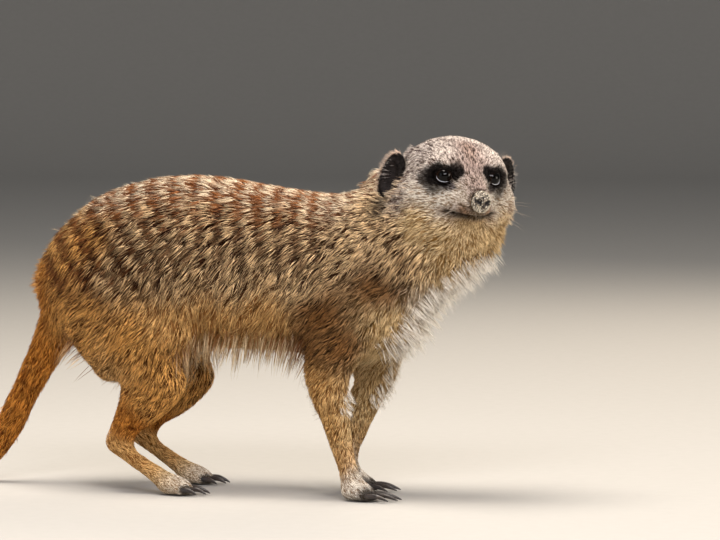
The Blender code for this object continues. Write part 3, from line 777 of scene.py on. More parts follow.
def on_hide(values, triangle, weights, ends=corners):
    """A value of the hide at the roots, from the corners of the triangles they stand in."""
    spread = values[ends[triangle]]
    if spread.ndim == 3:
        return (spread * weights[:, :, None]).sum(1)
    return (spread * weights).sum(1)


hide_tree = BVHTree.FromPolygons([Vector(p) for p in points], corners.tolist())


def nearest_on_hide(places):
    """The nearest places on the hide, and its outward direction there."""
    found = [hide_tree.find_nearest(Vector(p)) for p in places]
    triangle = np.array([f[2] for f in found])
    return np.array([f[0] for f in found]), unit(outward[corners[triangle]].mean(1))


def nearest_of(leaders, places):
    """The number of the leader nearest each place."""
    finder = KDTree(len(leaders))
    for n, leader in enumerate(leaders):
        finder.insert(Vector(leader), n)
    finder.balance()
    return np.array([finder.find(Vector(p))[1] for p in places])


def spikes(name, roots, rings, tips, across, upward, widths, thickness, marks, uv):
    """A mesh of many slim three-sided spikes, each a point at the root, rings, and a tip."""
    amount, levels = len(roots), len(rings)
    per = levels * 3 + 2
    places = np.empty((amount, per, 3))
    along = np.zeros(per)
    offsets = np.zeros((per, 2))
    places[:, 0] = roots
    offsets[0] = (0, -0.5)
    for n, (ring, width) in enumerate(zip(rings, widths)):
        width = np.reshape(width, (-1, 1))
        at = n * 3 + 1
        places[:, at] = ring - across * width / 2
        places[:, at + 1] = ring + across * width / 2
        places[:, at + 2] = ring + upward * (width * thickness)
        share = (n + 1) / (levels + 1)
        along[at:at + 3] = share
        offsets[at:at + 3] = ((-0.5, share - 0.5), (0.5, share - 0.5), (0, share - 0.5))
    places[:, -1] = tips
    along[-1] = 1
    offsets[-1] = (0, 0.5)
    sides = ((1, 2), (2, 3), (3, 1))
    faces = [(b, a, 0) for a, b in sides]
    for n in range(0, (levels - 1) * 3, 3):
        faces += [(n + a, n + b, n + b + 3, n + a + 3) for a, b in sides]
    faces += [(per - 5 + a, per - 5 + b, per - 1) for a, b in sides]
    pattern = np.array([v for face in faces for v in face])
    starts = np.cumsum([0] + [len(face) for face in faces[:-1]])
    every = (np.arange(amount)[:, None] * per + pattern).ravel()
    begin = (np.arange(amount)[:, None] * len(pattern) + starts).ravel()
    mesh = bpy.data.meshes.new(name)
    mesh.vertices.add(amount * per)
    mesh.vertices.foreach_set("co", (places * MM).astype(np.float32).ravel())
    mesh.loops.add(len(every))
    mesh.loops.foreach_set("vertex_index", every.astype(np.int32))
    mesh.polygons.add(len(begin))
    mesh.polygons.foreach_set("loop_start", begin.astype(np.int32))
    mesh.update(calc_edges=True)
    mesh.polygons.foreach_set("use_smooth", np.ones(len(begin), bool))
    layer = mesh.uv_layers.new(name="OFBake")
    patch = uv[:, None, :] + PATCH * offsets[None, :, :]
    layer.data.foreach_set("uv", patch[:, pattern].astype(np.float32).ravel())
    write_attributes(mesh, {key: np.repeat(values, per) for key, values in marks.items()})
    write_attributes(mesh, {"along": np.tile(along, amount)})
    return new_object(name, mesh)


# Hair of the coat: dry keratin, so rough, with only a faint gloss along each hair.
hair_stuff, tree, shader = new_material("meerkat_hair", Roughness=0.5, Specular_IOR_Level=0.12)
along = add(tree, "ShaderNodeAttribute", {"attribute_name": "along"}).outputs["Fac"]
tone = add(tree, "ShaderNodeAttribute", {"attribute_name": "tone"}).outputs["Fac"]
tree.links.new(hair_colour(tree, along, tone), shader.inputs["Base Color"])


def varied(values, least, spread):
    """The values, each by a chance share between the least and the spread above it."""
    return values * (least + spread * rng.random(len(values)))


MOST_HEIGHT = 7

amount = min(TUFTS, int(expected[-1]))
spots = root_places(amount, expected)
root = on_hide(points, *spots)
up = unit(on_hide(outward, *spots))
flow = along_surface(on_hide(lie, *spots), up)
reach = varied(on_hide(length, *spots), 0.8, 0.55)
tall = np.minimum(on_hide(depth, *spots), MOST_HEIGHT)
wide = varied(on_hide(width, *spots), 0.52, 0.36)
tone = rng.random(amount)

# Tufts gather in locks: each leans towards the tip of the nearest leading tuft, unless that
# is far away, and shares some of its tone.
LOCK_SIZE = 6
LOCK_REACH = 9
LOCK_TURN, TUFT_TURN = 0.16, 0.12
STRONGEST_GATHER, GATHER_BY_LENGTH = 0.55, 0.055
LOCK_TONE, MIDDLE_TONE, TONE_CONTRAST = 0.36, 0.52, 2.3

leaders = rng.permutation(amount)[:amount // LOCK_SIZE]
lock = nearest_of(root[leaders], root)
lock_sway = rng.normal(0, LOCK_TURN, len(leaders))[lock] + rng.normal(0, TUFT_TURN, amount)
side_on = np.cross(up, flow)
flow = unit(flow * np.cos(lock_sway)[:, None] + side_on * np.sin(lock_sway)[:, None])
tone = (1 - LOCK_TONE) * tone + LOCK_TONE * rng.random(len(leaders))[lock]
tone = np.clip(MIDDLE_TONE + TONE_CONTRAST * (tone - 0.5), 0, 1)

# Each tuft bends a little short of half its length, and its tip lies over the hide beyond.
BEND_AT = 0.45
ROOT_SUNK = 0.4
LOWEST_TUFT = 0.25

spot_below, spot_up = nearest_on_hide(root + flow * (reach * BEND_AT)[:, None])
bend = spot_below + spot_up * varied(tall, 0.5, 0.25)[:, None]
onward = along_surface(flow, spot_up)
spot_below, spot_up = nearest_on_hide(spot_below + onward * (reach * (1 - BEND_AT))[:, None])
tip = spot_below + spot_up * varied(tall, 0.62, 0.5)[:, None]
gather = np.minimum(STRONGEST_GATHER, GATHER_BY_LENGTH * reach)[:, None]
to_leader = tip[leaders][lock] - tip
tip = tip + to_leader * gather * (lengths(to_leader) < LOCK_REACH)[:, None]
for places in (bend, tip):
    places[:, 2] = np.maximum(places[:, 2], LOWEST_TUFT)
buried = root - up * ROOT_SUNK
bend_across = unit(np.cross(up, bend - root))
marks = {name: on_hide(kinds[:, n], *spots) for n, name in enumerate(KINDS)}
marks |= {"band": on_hide(band, *spots), "rusty": on_hide(rusty, *spots), "tone": tone}
root_uv = on_hide(unwrap, *spots, ends=loops)

# The coat is made in pieces, one for each stretch of the body, split again so that none is too
# heavy. A tuft belongs to the stretch of the solid nearest its root.
STRETCHES = {
    "head": "coat_head", "muzzle": "coat_muzzle", "neck": "coat_neck", "chest": "coat_trunk",
    "belly": "coat_trunk", "rump": "coat_rump", "tail": "coat_tail", "upper": "coat_limb",
    "forearm": "coat_limb", "thigh": "coat_limb", "shank": "coat_limb", "forepaw": "coat_foot",
    "hindfoot": "coat_foot",
}
MOST_TUFTS = 32_000

stretch_places, stretch_faces, stretch_names = [], [], []
for name in FLESH:
    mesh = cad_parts[name].data
    start = len(stretch_places)
    stretch_places += [v.co / MM for v in mesh.vertices]
    stretch_faces += [[start + i for i in face.vertices] for face in mesh.polygons]
    stretch_names += [STRETCHES[name.split("_")[0]]] * len(mesh.polygons)
stretch_tree = BVHTree.FromPolygons(stretch_places, stretch_faces)
hide_stretch = np.array([stretch_names[stretch_tree.find_nearest(Vector(p))[2]] for p in points])
root_corner = corners[spots[0], 0]

for stretch in sorted(set(STRETCHES.values())):
    members = np.flatnonzero(hide_stretch[root_corner] == stretch)
    members = members[np.argsort(points[root_corner[members], 1], kind="stable")]
    shares = np.array_split(members, max(1, math.ceil(len(members) / MOST_TUFTS)))
    for number, some in enumerate(shares, 1):
        tufts = spikes(f"{stretch}_tufts_{number}", buried[some], [bend[some]], tip[some],
                       bend_across[some], up[some], [wide[some]], 0.5,
                       {key: values[some] for key, values in marks.items()}, root_uv[some])
        tufts.data.materials.append(hair_stuff)
        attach(tufts, "root")


# ------------------------------------------------------------------------------------ eyes
# Each eye is one wet ball with a bulging clear front over a very dark brown iris. The wet
# edge of the lower lid shows under it.

def set_stops(ramp, stops):
    """Gives a colour ramp its stops, each a place along it and a colour."""
    for n, (position, code) in enumerate(stops):
        stop = ramp.elements[n] if n < 2 else ramp.elements.new(position)
        stop.position = position
        stop.color = linear(code)


# Cornea over iris: wet and smooth, so it mirrors the lamps, but lets the dark brown through.
# The pupil lies within 0.20 of the way round from the gaze, and the iris ends at 0.52.
eye_stuff, tree, shader = new_material("wet_eye", Roughness=0.04, IOR=1.35,
                                       Specular_IOR_Level=0.28)
reading = add(tree, "ShaderNodeAttribute", {"attribute_name": "from_gaze"}).outputs["Fac"]
ramp = add(tree, "ShaderNodeValToRGB", None, Fac=reading)
set_stops(ramp.color_ramp, ((0.20, "#040302"), (0.26, "#170D07"), (0.44, "#1F120A"),
                            (0.52, "#080505"), (0.75, "#15100E")))
tree.links.new(ramp.outputs["Color"], shader.inputs["Base Color"])

def mottled(name, dark, pale, grain, detail, span=None, **settings):
    """A material of two colours in patches of a size in millimetres, with their pattern."""
    material, tree, shader = new_material(name, **settings)
    pattern = grained(tree, grain, detail, span)
    colour = add(tree, "ShaderNodeMix", {"data_type": "RGBA"}, _0=pattern, _6=linear(dark),
                 _7=linear(pale))
    tree.links.new(colour.outputs[2], shader.inputs["Base Color"])
    return material, tree, shader, pattern


# Wet skin of the lid's edge: grey, uneven and glossy with tears, with pale bluish patches painted in
# for the light it mirrors.
rim_stuff = mottled("wet_lid_rim_painted_reflection", "#6A6568", "#C9CBD6", 1.5, 2, Roughness=0.12,
                    Coat_Weight=1.0)[0]


def set_out(centre, shape, *axes):
    """Places in the head, from distances along three axes from a centre."""
    return centre + sum(shape[:, n:n + 1] * axis for n, axis in enumerate(axes))


def place_in_head(bm, shape):
    """Moves a mesh's vertices to places in the head in millimetres, and turns faces outwards."""
    places = from_head(shape) * MM
    for v, place in zip(bm.verts, places):
        v.co = place
    bmesh.ops.recalc_face_normals(bm, faces=bm.faces)
    return places


BULGE = 0.075
RIM_TURNS = (-128, -10)
RIM_INSIDE = (0.90, 0.88)
RIM_THIN, RIM_SWELLING = 0.04, 0.20
RIM_STEPS = 18

for name, side in SIDES.items():
    centre, gaze, back = eye_axes(side)
    bm = bmesh.new()
    bmesh.ops.create_uvsphere(bm, u_segments=40, v_segments=28, radius=1)
    turn = np.array([v.co.normalized() for v in bm.verts])
    from_gaze = np.arccos(np.clip(turn[:, 2], -1, 1)) / math.pi
    bulge = 1 + BULGE * (1 - ease(from_gaze, 0.0, 0.27))
    seen = turn * bulge[:, None] * (EYE_RADIUS - 0.05)
    place_in_head(bm, set_out(centre, seen, back, UP, gaze))
    ball = object_from(f"eyeball_{name}", bm)
    write_attributes(ball.data, {"from_gaze": from_gaze})
    ball.data.materials.append(eye_stuff)
    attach(ball, "root")
    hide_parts(f"eye_{name}")

    # The wet edge of the lower lid, a slim roll along the outer half of the eye's opening.
    bm = bmesh.new()
    last_edges, last_spot = [], None
    for n in range(RIM_STEPS + 1):
        share = n / RIM_STEPS
        turned = math.radians(RIM_TURNS[0] + (RIM_TURNS[1] - RIM_TURNS[0]) * share)
        across = EYE_OPENING[0] * RIM_INSIDE[0] * math.cos(turned)
        tall_by = EYE_OPENING[1] * RIM_INSIDE[1] * math.sin(turned)
        ray = (gaze * math.cos(tall_by) * math.cos(across)
               + back * math.cos(tall_by) * math.sin(across) + UP * math.sin(tall_by))
        spot_at = centre + ray * (EYE_RADIUS + 0.1)
        heading = spot_at - last_spot if n else 0.3 * back - UP
        turn_to = Vector(HEAD_TURN @ heading).to_track_quat("Z", "Y").to_matrix().to_4x4()
        place = Matrix.Translation(Vector(from_head(spot_at[None])[0]))
        thick = RIM_THIN + RIM_SWELLING * math.sin(math.pi * share) ** 0.7
        ring = bmesh.ops.create_circle(bm, segments=7, radius=thick)["verts"]
        bmesh.ops.transform(bm, matrix=Matrix.Scale(MM, 4) @ place @ turn_to, verts=ring)
        edges = list({e for v in ring for e in v.link_edges})
        if n:
            bmesh.ops.bridge_loops(bm, edges=last_edges + edges)
        last_edges, last_spot = edges, spot_at
    bmesh.ops.holes_fill(bm, edges=bm.edges)
    bmesh.ops.recalc_face_normals(bm, faces=bm.faces)
    rim = object_from(f"lid_rim_{name}", bm)
    rim.data.materials.append(rim_stuff)
    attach(rim, "root")


# ------------------------------------------------------------------------------------ nose
# The nose is a bare, black, finely pebbled pad with two comma-shaped nostrils and a groove
# below them. Pale sand from digging clings to it.

# Each nostril is three hollows: how far aside and how high, how wide and tall, and how deep.
NOSTRIL = ((0.40, 0.02, 0.23, 0.14, 1.0), (0.56, 0.12, 0.14, 0.15, 0.8),
           (0.84, 0.18, 0.10, 0.30, 0.6))
NOSTRIL_DEPTH, GROOVE_DEPTH, FLATTENING = 0.34, 0.09, 0.16

bm = bmesh.new()
bmesh.ops.create_icosphere(bm, subdivisions=5, radius=1)
turn = np.array([v.co.normalized() for v in bm.verts])
ahead, aside, high = turn.T
hollow = np.zeros(len(turn))
for side in SIDES.values():
    for aside_by, high_by, wide_by, tall_by, deep in NOSTRIL:
        away = ((aside - side * aside_by) / wide_by) ** 2 + ((high - high_by) / tall_by) ** 2
        hollow = np.maximum(hollow, deep * np.exp(-away) * (ahead > -0.1))
groove = bell(aside, 0.07) * ease(-high, -0.15, 0.1) * (ahead > 0)
shape = turn * NOSE_RADII * (1 - NOSTRIL_DEPTH * hollow - GROOVE_DEPTH * groove)[:, None]
shape[:, 0] *= np.where(ahead > 0, 1 - FLATTENING * ahead**4, 1.0)
placed = place_in_head(bm, shape + NOSE_MIDDLE)
nose = object_from("nose_pad", bm)
write_attributes(nose.data, {"hollow": hollow})

# Bare skin: black and pebbled, moist but dulled by dust, with painted shade, nearly black, deep in
# the nostrils.
nose_stuff, tree, shader, _ = mottled("bare_nose_skin", "#1D1715", "#857A6C", 2.2, 4,
                                         (0.45, 0.66), Roughness=0.5, Specular_IOR_Level=0.2)
outside = shader.inputs["Base Color"].links[0].from_socket
inside = add(tree, "ShaderNodeAttribute", {"attribute_name": "hollow"}).outputs["Fac"]
# The nostrils' hollows are painted nearly black for the shade inside them.
nostril_painted_shade = add(tree, "ShaderNodeMapRange", None, Value=inside, From_Min=0.15, From_Max=0.45)
colour = add(tree, "ShaderNodeMix", {"data_type": "RGBA"}, _0=nostril_painted_shade.outputs[0],
             _6=outside, _7=linear("#040303"))
tree.links.new(colour.outputs[2], shader.inputs["Base Color"])
where = add(tree, "ShaderNodeTexCoord").outputs["Object"]
pebbles = add(tree, "ShaderNodeTexVoronoi", None, Vector=where, Scale=1 / (0.55 * MM))
bump = add(tree, "ShaderNodeBump", None, Strength=0.6, Distance=0.2 * MM,
           Height=pebbles.outputs["Distance"])
tree.links.new(bump.outputs[0], shader.inputs["Normal"])
nose.data.materials.append(nose_stuff)
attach(nose, "root")
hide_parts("nose")

# Grains of dry sand, each a small rough pebble, thickest round the rim and below.
GRAINS = 540
SMALLEST_GRAIN, GRAIN_RANGE = 0.13, 0.30

bm = bmesh.new()
front = np.flatnonzero((ahead > -0.05) & (hollow < 0.22))
crowd = 0.25 + ease(lengths(turn[front, 1:]), 0.45, 0.85)
crowd += 0.7 * ease(-high[front], 0, 0.6)
for vertex in rng.choice(front, GRAINS, replace=False, p=crowd / crowd.sum()):
    size = SMALLEST_GRAIN + GRAIN_RANGE * rng.random() ** 2
    grain_verts = bmesh.ops.create_icosphere(bm, subdivisions=1, radius=size * MM)["verts"]
    for v in grain_verts:
        v.co *= rng.uniform(0.75, 1.25)
    stretch = Matrix.Diagonal((rng.uniform(0.7, 1.3), rng.uniform(0.7, 1.3), 0.7, 1))
    spin = Matrix.Rotation(rng.uniform(0, 6), 4, Vector(rng.normal(size=3)).normalized())
    place = Matrix.Translation(Vector(placed[vertex]))
    bmesh.ops.transform(bm, matrix=place @ spin @ stretch, verts=grain_verts)
sand = object_from("nose_sand", bm)
sand.data.polygons.foreach_set("use_smooth", [False] * len(sand.data.polygons))

# Loose sand: dry and matt, its grains from brown to nearly white.
sand_stuff, tree, shader = new_material("dry_sand", Roughness=0.6)
ramp = add(tree, "ShaderNodeValToRGB", None, Fac=grained(tree, 0.6, 1))
set_stops(ramp.color_ramp, ((0.35, "#5F4F3A"), (0.48, "#BFB093"), (0.62, "#EFE9DC")))
tree.links.new(ramp.outputs["Color"], shader.inputs["Base Color"])
sand.data.materials.append(sand_stuff)
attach(sand, "root")


# ------------------------------------------------------------------------------------ ears
# The ears are low black crescents of gristle, hollow in front, with short black hair all
# over and a few fine pale hairs that cross them from the cheek.

EAR_SPLAY = math.radians(38)
EAR_RADII = (7.7, 3.7, 14.0)
EAR_LEAN = 2.6
DISH_DEPTH, RIDGE_HEIGHT = 3.4, 0.9
FUZZ, FUZZ_LENGTH, FUZZ_WIDTH, FUZZ_STRAY = 3200, (1.8, 3.4), 0.34, 0.22
RIM_HAIRS, RIM_LENGTH, RIM_WIDTH = 340, (2.5, 5.0), 0.34
HOLLOW_SHARE, HOLLOW_LENGTH, HOLLOW_WIDTH = 0.10, (6, 9), 0.16

# Thin skin with a black nap: matt, and a little paler where the nap is thin.
ear_stuff, tree, shader, nap = mottled("ear_hide", "#060404", "#2A211E", 0.7, 4,
                                       Roughness=0.75, Specular_IOR_Level=0.25)
bump = add(tree, "ShaderNodeBump", None, Strength=0.4, Distance=0.2 * MM, Height=nap)
tree.links.new(bump.outputs[0], shader.inputs["Normal"])


def unbanded(number, **shares):
    """The marks of hairs outside the bands, of the kinds given."""
    none = {name: np.zeros(number) for name in (*KINDS, "band", "rusty")}
    return {**none, **shares}


for name, side in SIDES.items():
    centre = middle_in_head(f"ear_{name}")
    ahead = np.array([math.cos(EAR_SPLAY), -side * math.sin(EAR_SPLAY), 0])
    face = np.array([math.sin(EAR_SPLAY), side * math.cos(EAR_SPLAY), 0])
    bm = bmesh.new()
    bmesh.ops.create_uvsphere(bm, u_segments=48, v_segments=32, radius=1)
    turn = np.array([v.co for v in bm.verts])
    oval = np.hypot(turn[:, 0] / 0.74, turn[:, 2] / 0.78)
    dish = (1 - ease(oval, 0.45, 1.0)) * (turn[:, 1] > 0)
    ridge = turn[:, 0] + 0.15 + 0.4 * turn[:, 2] ** 2
    fold = 0.5 * bell(ridge, 0.12) * (oval < 0.8)
    shape = turn * EAR_RADII
    shape[:, 1] -= DISH_DEPTH * dish - RIDGE_HEIGHT * fold * dish
    shape[:, 0] += EAR_LEAN * turn[:, 2]
    place_in_head(bm, set_out(centre, shape, ahead, face, UP))
    bm.normal_update()
    ear = object_from(f"ear_shell_{name}", bm)
    ear.data.materials.append(ear_stuff)
    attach(ear, "root")
    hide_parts(f"ear_{name}")

    # Short black hair, swept back from the front edge and over the rim.
    ear_points, ear_out = mesh_arrays(ear.data)
    chosen = rng.integers(0, len(ear_points), FUZZ)
    stand = ear_points[chosen] + rng.normal(0, FUZZ_STRAY, (FUZZ, 3))
    nap_up = ear_out[chosen]
    sweep = HEAD_TURN @ (-ahead * 0.8 - 0.35 * UP)
    sweep = along_surface(sweep + rng.normal(0, FUZZ_STRAY, (FUZZ, 3)), nap_up)
    run = sweep * rng.uniform(*FUZZ_LENGTH, FUZZ)[:, None]
    fuzz_marks = unbanded(FUZZ, black=np.ones(FUZZ), tone=rng.random(FUZZ))
    patch_at = np.stack([0.1 + 0.8 * (chosen % 48) / 48, 0.1 + 0.8 * chosen / len(ear_points)], 1)
    fuzz = spikes(f"ear_fuzz_{name}", stand - nap_up * 0.3, [stand + run * 0.5 + nap_up * 0.35],
                  stand + run + nap_up * 0.45, np.cross(nap_up, sweep), nap_up, [FUZZ_WIDTH],
                  0.45, fuzz_marks, patch_at)
    fuzz.data.materials.append(hair_stuff)
    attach(fuzz, "root")

    # A fringe of pale hairs along the ear's top and rear rim, and a few across its hollow.
    round_rim = math.radians(75) + math.radians(150) * rng.random(RIM_HAIRS)
    hollow_hair = rng.random(RIM_HAIRS) < HOLLOW_SHARE
    size = np.where(hollow_hair, rng.uniform(0.1, 0.8, RIM_HAIRS), 0.96)
    ahead_by, high_by = np.cos(round_rim), np.sin(round_rim)
    out_by = np.where(hollow_hair, 1.2, rng.normal(-0.6, 1.2, RIM_HAIRS))
    shape = np.stack([(7.5 * ahead_by + EAR_LEAN * high_by) * size, out_by,
                      13.8 * high_by * size], 1)
    stand = from_head(set_out(centre, shape, ahead, face, UP))
    away = (ahead_by[:, None] * ahead * 0.8 + high_by[:, None] * UP * 0.55
            - ahead * 0.75 + face * 0.1 + rng.normal(0, 0.2, (RIM_HAIRS, 3)))
    over_hollow = -ahead + face * 0.25 + rng.normal(0, 0.15, (RIM_HAIRS, 3))
    away = unit(np.where(hollow_hair[:, None], over_hollow, away)) @ HEAD_TURN.T
    run = away * np.where(hollow_hair, rng.uniform(*HOLLOW_LENGTH, RIM_HAIRS),
                          rng.uniform(*RIM_LENGTH, RIM_HAIRS))[:, None]
    over = unit(np.cross(away, np.array([0.1, 0.2, 1.0])))
    rim_marks = unbanded(RIM_HAIRS, silver=np.where(hollow_hair, 1.0, 0.45),
                         umber=np.where(hollow_hair, 0.0, 0.55),
                         tone=0.35 + 0.65 * rng.random(RIM_HAIRS))
    patch_at = np.stack([0.1 + 0.8 * (round_rim / math.pi - 0.4),
                         0.1 + 0.8 * rng.random(RIM_HAIRS)], 1)
    rim_hair = spikes(f"ear_rim_{name}", stand - away * 0.8, [stand + run * 0.4], stand + run,
                      over, np.cross(over, away),
                      [np.where(hollow_hair, HOLLOW_WIDTH, RIM_WIDTH)], 0.5, rim_marks, patch_at)
    rim_hair.data.materials.append(hair_stuff)
    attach(rim_hair, "root")


# ----------------------------------------------------------------------------------- claws
# Four long digging claws stand on each forefoot and four shorter ones on each hind foot,
# of dark horn with paler streaks. Each is rooted in the end of its toe.

# Horn: dark, worn smooth by digging, with paler streaks.
claw_stuff = mottled("claw_horn", "#211C1B", "#463B34", 3, 3, (0.35, 0.8), Roughness=0.32)[0]

for name in claws:
    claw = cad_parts[name]
    weld = claw.modifiers.new("one_skin", "WELD")
    weld.merge_threshold = 1e-6
    smooth = claw.modifiers.new("smooth_horn", "SUBSURF")
    smooth.levels = smooth.render_levels = 2
    for slot in claw.material_slots:
        slot.material = claw_stuff


# ----------------------------------------------------------------------- long single hairs
# Thin pale hairs stand out of the coat: along the belly, the back of the thighs and the tail,
# in a white fringe down the throat and breast, behind the forearms, and on rump and cheeks.

# Each fringe has the line it grows along, how far from it, the way its hairs point, their
# least and greatest length, their thickness, how many there are, and their kind.
BODY_FRINGES = {
    "belly": ((90, 22, 90), (0, 24, 90), 14, (-0.25, 0, -0.97), (10, 24), 0.30, 1200, "straw"),
    "thigh": ((-64, 32, 98), (-38, 34, 62), 13, (-0.80, 0, -0.45), (9, 22), 0.28, 900, "straw"),
    "breast": ((184, 6, 142), (142, 6, 94), 15, (0.75, 0.1, -0.55), (10, 17), 0.36, 1800, "white"),
    "rump": ((-72, 8, 156), (-76, 10, 120), 12, (-0.90, 0, 0.00), (6, 10), 0.32, 800, "honey"),
    "tail": ((-66, 6, 108), (-104, 4, 30), 13, (-0.60, 0, -0.70), (5, 9), 0.28, 1000, "gold"),
    "elbow": ((92, 30, 78), (104, 27, 30), 9, (-0.70, 0, -0.65), (4, 8), 0.26, 500, "white"),
    "cuff": ((150, 24, 104), (121, 26, 58), 9, (0.45, -0.3, -0.80), (5, 9), 0.30, 900, "white"),
    "back": ((120, 6, 175), (-50, 6, 170), 26, (-0.95, 0, 0.05), (7, 11), 0.34, 1800, "straw"),
    "nape": ((150, 26, 180), (138, 30, 150), 12, (-0.70, 0, 0.10), (6, 10), 0.32, 600, "grizzle"),
}
HEAD_FRINGES = {
    "poll": ((-12, 26, 13), (-19, 28, 4), 6, (-0.70, 0.65, 0.05), (5, 7.5), 0.34, 900, "silver"),
    "temple": ((-3, 27, 14), (-3, 31, -12), 6, (-0.90, 0.50, 0.05), (3.5, 5.5), 0.30, 800, "silver"),
    "cheek": ((14, 30, -12), (9, 30, -25), 8, (-0.60, 0.70, -0.30), (4, 7), 0.28, 800, "straw"),
    "jaw": ((15, 22, -29), (0, 14, -40), 8, (-0.35, 0.60, -0.65), (6, 10), 0.34, 700, "tan"),
}
LOCK_OF_HAIRS = 8
LOCK_GATHER = 0.65
STANDING_UP, STRAY, MOST_FALL = 0.5, 0.17, 0.3
OWN_KIND = 0.45
LOWEST_HAIR = 0.3
STEPS = (0.33, 0.66, 1.0)

for fringe, row in {**BODY_FRINGES, **HEAD_FRINGES}.items():
    start, end, radius, way, reach_range, thick, number, kind = row
    seen_from = local if fringe in HEAD_FRINGES else points
    near = 1 - ease(segment_distance(on_left(seen_from), start, end), radius * 0.5, radius)
    spots = root_places(number, np.cumsum(areas * (near * (1 - bare))[corners].mean(1)))
    stand = on_hide(points, *spots)
    outwards = unit(on_hide(outward, *spots))
    own_side = np.sign(on_hide(seen_from[:, 1], *spots))[:, None]
    heading = np.array(way) * (np.array([1, 0, 1]) + own_side * (0, 1, 0))
    heading = heading @ HEAD_TURN.T if fringe in HEAD_FRINGES else heading
    heading = unit(heading + outwards * STANDING_UP + rng.normal(0, STRAY, (number, 3)))
    reach = rng.uniform(*reach_range, number)[:, None]
    fall = -UP * reach * rng.uniform(0, MOST_FALL, (number, 1))
    leaders = np.arange(0, number, LOCK_OF_HAIRS)
    lead = leaders[nearest_of(stand[leaders], stand)]
    rings = []
    for step in STEPS:
        ring = stand + heading * reach * step + fall * step * step
        ring += (ring[lead] - ring) * LOCK_GATHER * step
        ring[:, 2] = np.maximum(ring[:, 2], LOWEST_HAIR)
        rings.append(ring)
    white = kind == "white"
    as_coat = 0.0 if white else 1 - OWN_KIND
    hair_marks = unbanded(number)
    for n, key in enumerate(KINDS):
        hair_marks[key] = as_coat * on_hide(kinds[:, n], *spots) + (1 - as_coat) * (key == kind)
    hair_marks["tone"] = (0.4 if white else 0.1) + 0.6 * rng.random(number)
    hairs = spikes(f"fringe_{fringe}", stand - outwards * ROOT_SUNK, rings[:2], rings[2],
                   unit(np.cross(outwards, heading)), outwards, [thick, thick * 0.75], 0.6,
                   hair_marks, on_hide(unwrap, *spots, ends=loops))
    hairs.data.materials.append(hair_stuff)
    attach(hairs, "root")


# -------------------------------------------------------------------------------- whiskers
# Stiff whiskers grow in rows from the sides of the muzzle, above the eyes and on the cheeks.
# Each is one tapering hair of horn, rooted in the hide, that droops a little.

# Where each grows in the head, which way, and how long it is.
WHISKERS = [
    ((33, 7, -9), (0.15, 0.95, 0.05), 26), ((31, 8, -11), (0.05, 0.95, -0.10), 30),
    ((29, 9.5, -10), (-0.15, 0.95, 0.10), 28), ((32, 8, -13), (0.10, 0.90, -0.35), 24),
    ((28, 10, -13), (-0.20, 0.90, -0.30), 26), ((26, 11, -11), (-0.35, 0.90, 0.0), 22),
    ((34, 6, -12), (0.35, 0.85, -0.20), 18), ((20, 12, 11), (0.10, 0.55, 0.80), 13),
    ((16, 15, 11), (-0.10, 0.65, 0.70), 12), ((10, 27, -14), (-0.30, 0.90, -0.35), 16),
]
WHISKER_WIDTHS = (0.22, 0.18, 0.12)
DROOP = 0.10

# Stiff keratin: smooth, with a faint gloss, dark and pale along its length.
whisker_stuff = mottled("whisker", "#2E241E", "#B5A592", 9, 2, Roughness=0.4)[0]

starts, headings, reaches = [], [], []
for place, way, usual in WHISKERS:
    for side in SIDES.values():
        starts.append((place[0], side * place[1], place[2]))
        headings.append((way[0], side * way[1], way[2]))
        reaches.append([usual * rng.uniform(0.85, 1.15)])
number = len(starts)
starts = from_head(np.array(starts, float))
headings = unit(np.array(headings, float) @ HEAD_TURN.T)
run, droop = headings * reaches, -UP * reaches * DROOP
rings = [starts + run * step + droop * step**2 for step in np.linspace(0.25, 1, 4)]
over = unit(np.cross(headings, UP[None]))
patch_at = np.stack([(0.5 + np.arange(number)) / number, np.full(number, 0.5)], 1)
whiskers = spikes("whiskers", starts - headings * 1.5, rings[:3], rings[3], over,
                  np.cross(over, headings), WHISKER_WIDTHS, 0.8, {"tone": np.ones(number)},
                  patch_at)
whiskers.data.materials.append(whisker_stuff)
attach(whiskers, "root")


# ------------------------------------------------------------------ floor, light and camera
# The animal stands on a plain pale floor that curves up behind it, under a broad soft light
# from above and in front.

FLAT, CURVE, WALL_TOP = 4.2, 1.2, 3.0
CURVE_STEPS = 12

run = [(0, 0, 0), (2.0, 0, 0)]
for step in range(CURVE_STEPS + 1):
    turned = math.radians(90) * step / CURVE_STEPS
    run.append((FLAT + CURVE * math.sin(turned), 0, CURVE - CURVE * math.cos(turned)))
run.append((FLAT + CURVE, 0, WALL_TOP))
bm = bmesh.new()
verts = [bm.verts.new(place) for place in run]
edges = [bm.edges.new(pair) for pair in zip(verts, verts[1:])]
bmesh.ops.spin(bm, geom=verts + edges, cent=(0, 0, 0), axis=(0, 0, 1), angle=math.tau, steps=96,
               use_merge=True)
bmesh.ops.remove_doubles(bm, verts=bm.verts, dist=1e-5)
bmesh.ops.recalc_face_normals(bm, faces=bm.faces)
if sum(face.normal.z for face in bm.faces) < 0:
    bmesh.ops.reverse_faces(bm, faces=bm.faces)
floor = object_from("studio_floor", bm)

# Studio paper: matt, warm and pale, with a faint cloud of fibre.
floor_stuff = mottled("matt_studio_paper", "#A6A39E", "#ACA9A4", 25 / 3, 2, Roughness=0.9)[0]
floor.data.materials.append(floor_stuff)

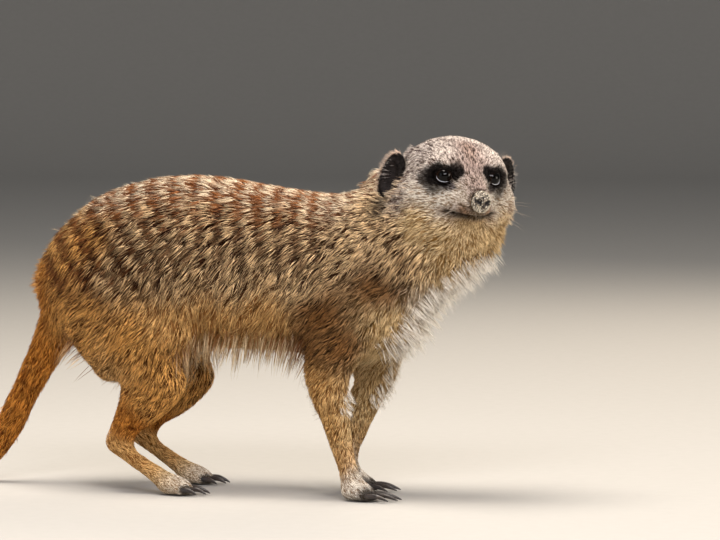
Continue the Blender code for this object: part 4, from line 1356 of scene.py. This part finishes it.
LAMPS = {
    "sky": ((-0.10, -0.20, 1.9), (1.0, 1.0), 60, "#FFF6EA"),
    "key": ((0.85, -1.75, 1.30), (1.5, 0.5), 41, "#FBF8FC"),
    "fill": ((-1.4, -1.3, 0.6), (1.2, 1.2), 5, "#F0F4FF"),
    "rim": ((0.2, 1.5, 1.1), (0.9, 0.9), 14, "#FFF0DC"),
    "edge": ((1.75, -0.15, 0.40), (0.7, 0.7), 15, "#FFF4E6"),
}
ANIMAL_MIDDLE = Vector((0.03, 0, 0.11))

for name, (place, size, power, code) in LAMPS.items():
    lamp = bpy.data.lights.new(name, "AREA")
    lamp.shape = "RECTANGLE"
    lamp.size, lamp.size_y = size
    lamp.energy = power
    lamp.color = linear(code)[:3]
    lamp_object = new_object(name, lamp)
    lamp_object.location = place
    to_animal = ANIMAL_MIDDLE - Vector(place)
    lamp_object.rotation_euler = to_animal.to_track_quat("-Z", "Y").to_euler()

world = bpy.data.worlds.new("studio")
world.use_nodes = True
sky = world.node_tree.nodes["Background"]
sky.inputs["Color"].default_value = linear("#DDE2E8")
sky.inputs["Strength"].default_value = 0.26
bpy.context.scene.world = world
bpy.context.scene.view_settings.view_transform = "Standard"

# The camera stands 3 m off, a little above the animal's height, ahead of its right flank. The
# lower half of the tail stays out of its view.
CAMERA_TURN = math.radians(20)
CAMERA_RISE = math.radians(3.5)
CAMERA_AWAY = 3.0
PICTURE_WIDTH = 0.4176
SENSOR_WIDTH = 36
AIM_START, AIM_TO_THE_RIGHT = Vector((0.0295, 0, 0.1285)), 0.0841

rightward = Vector((math.cos(CAMERA_TURN), math.sin(CAMERA_TURN), 0))
toward_camera = Vector((math.sin(CAMERA_TURN) * math.cos(CAMERA_RISE),
                        -math.cos(CAMERA_TURN) * math.cos(CAMERA_RISE), math.sin(CAMERA_RISE)))
aim = rightward * AIM_TO_THE_RIGHT + AIM_START
camera_data = bpy.data.cameras.new("camera")
camera_data.sensor_width = SENSOR_WIDTH
camera_data.lens = SENSOR_WIDTH * CAMERA_AWAY / PICTURE_WIDTH
camera_data.clip_end = 20
camera = new_object("camera", camera_data)
camera.location = aim + toward_camera * CAMERA_AWAY
camera.rotation_mode = "QUATERNION"
camera.rotation_quaternion = (-toward_camera).to_track_quat("-Z", "Y")
bpy.context.scene.camera = camera
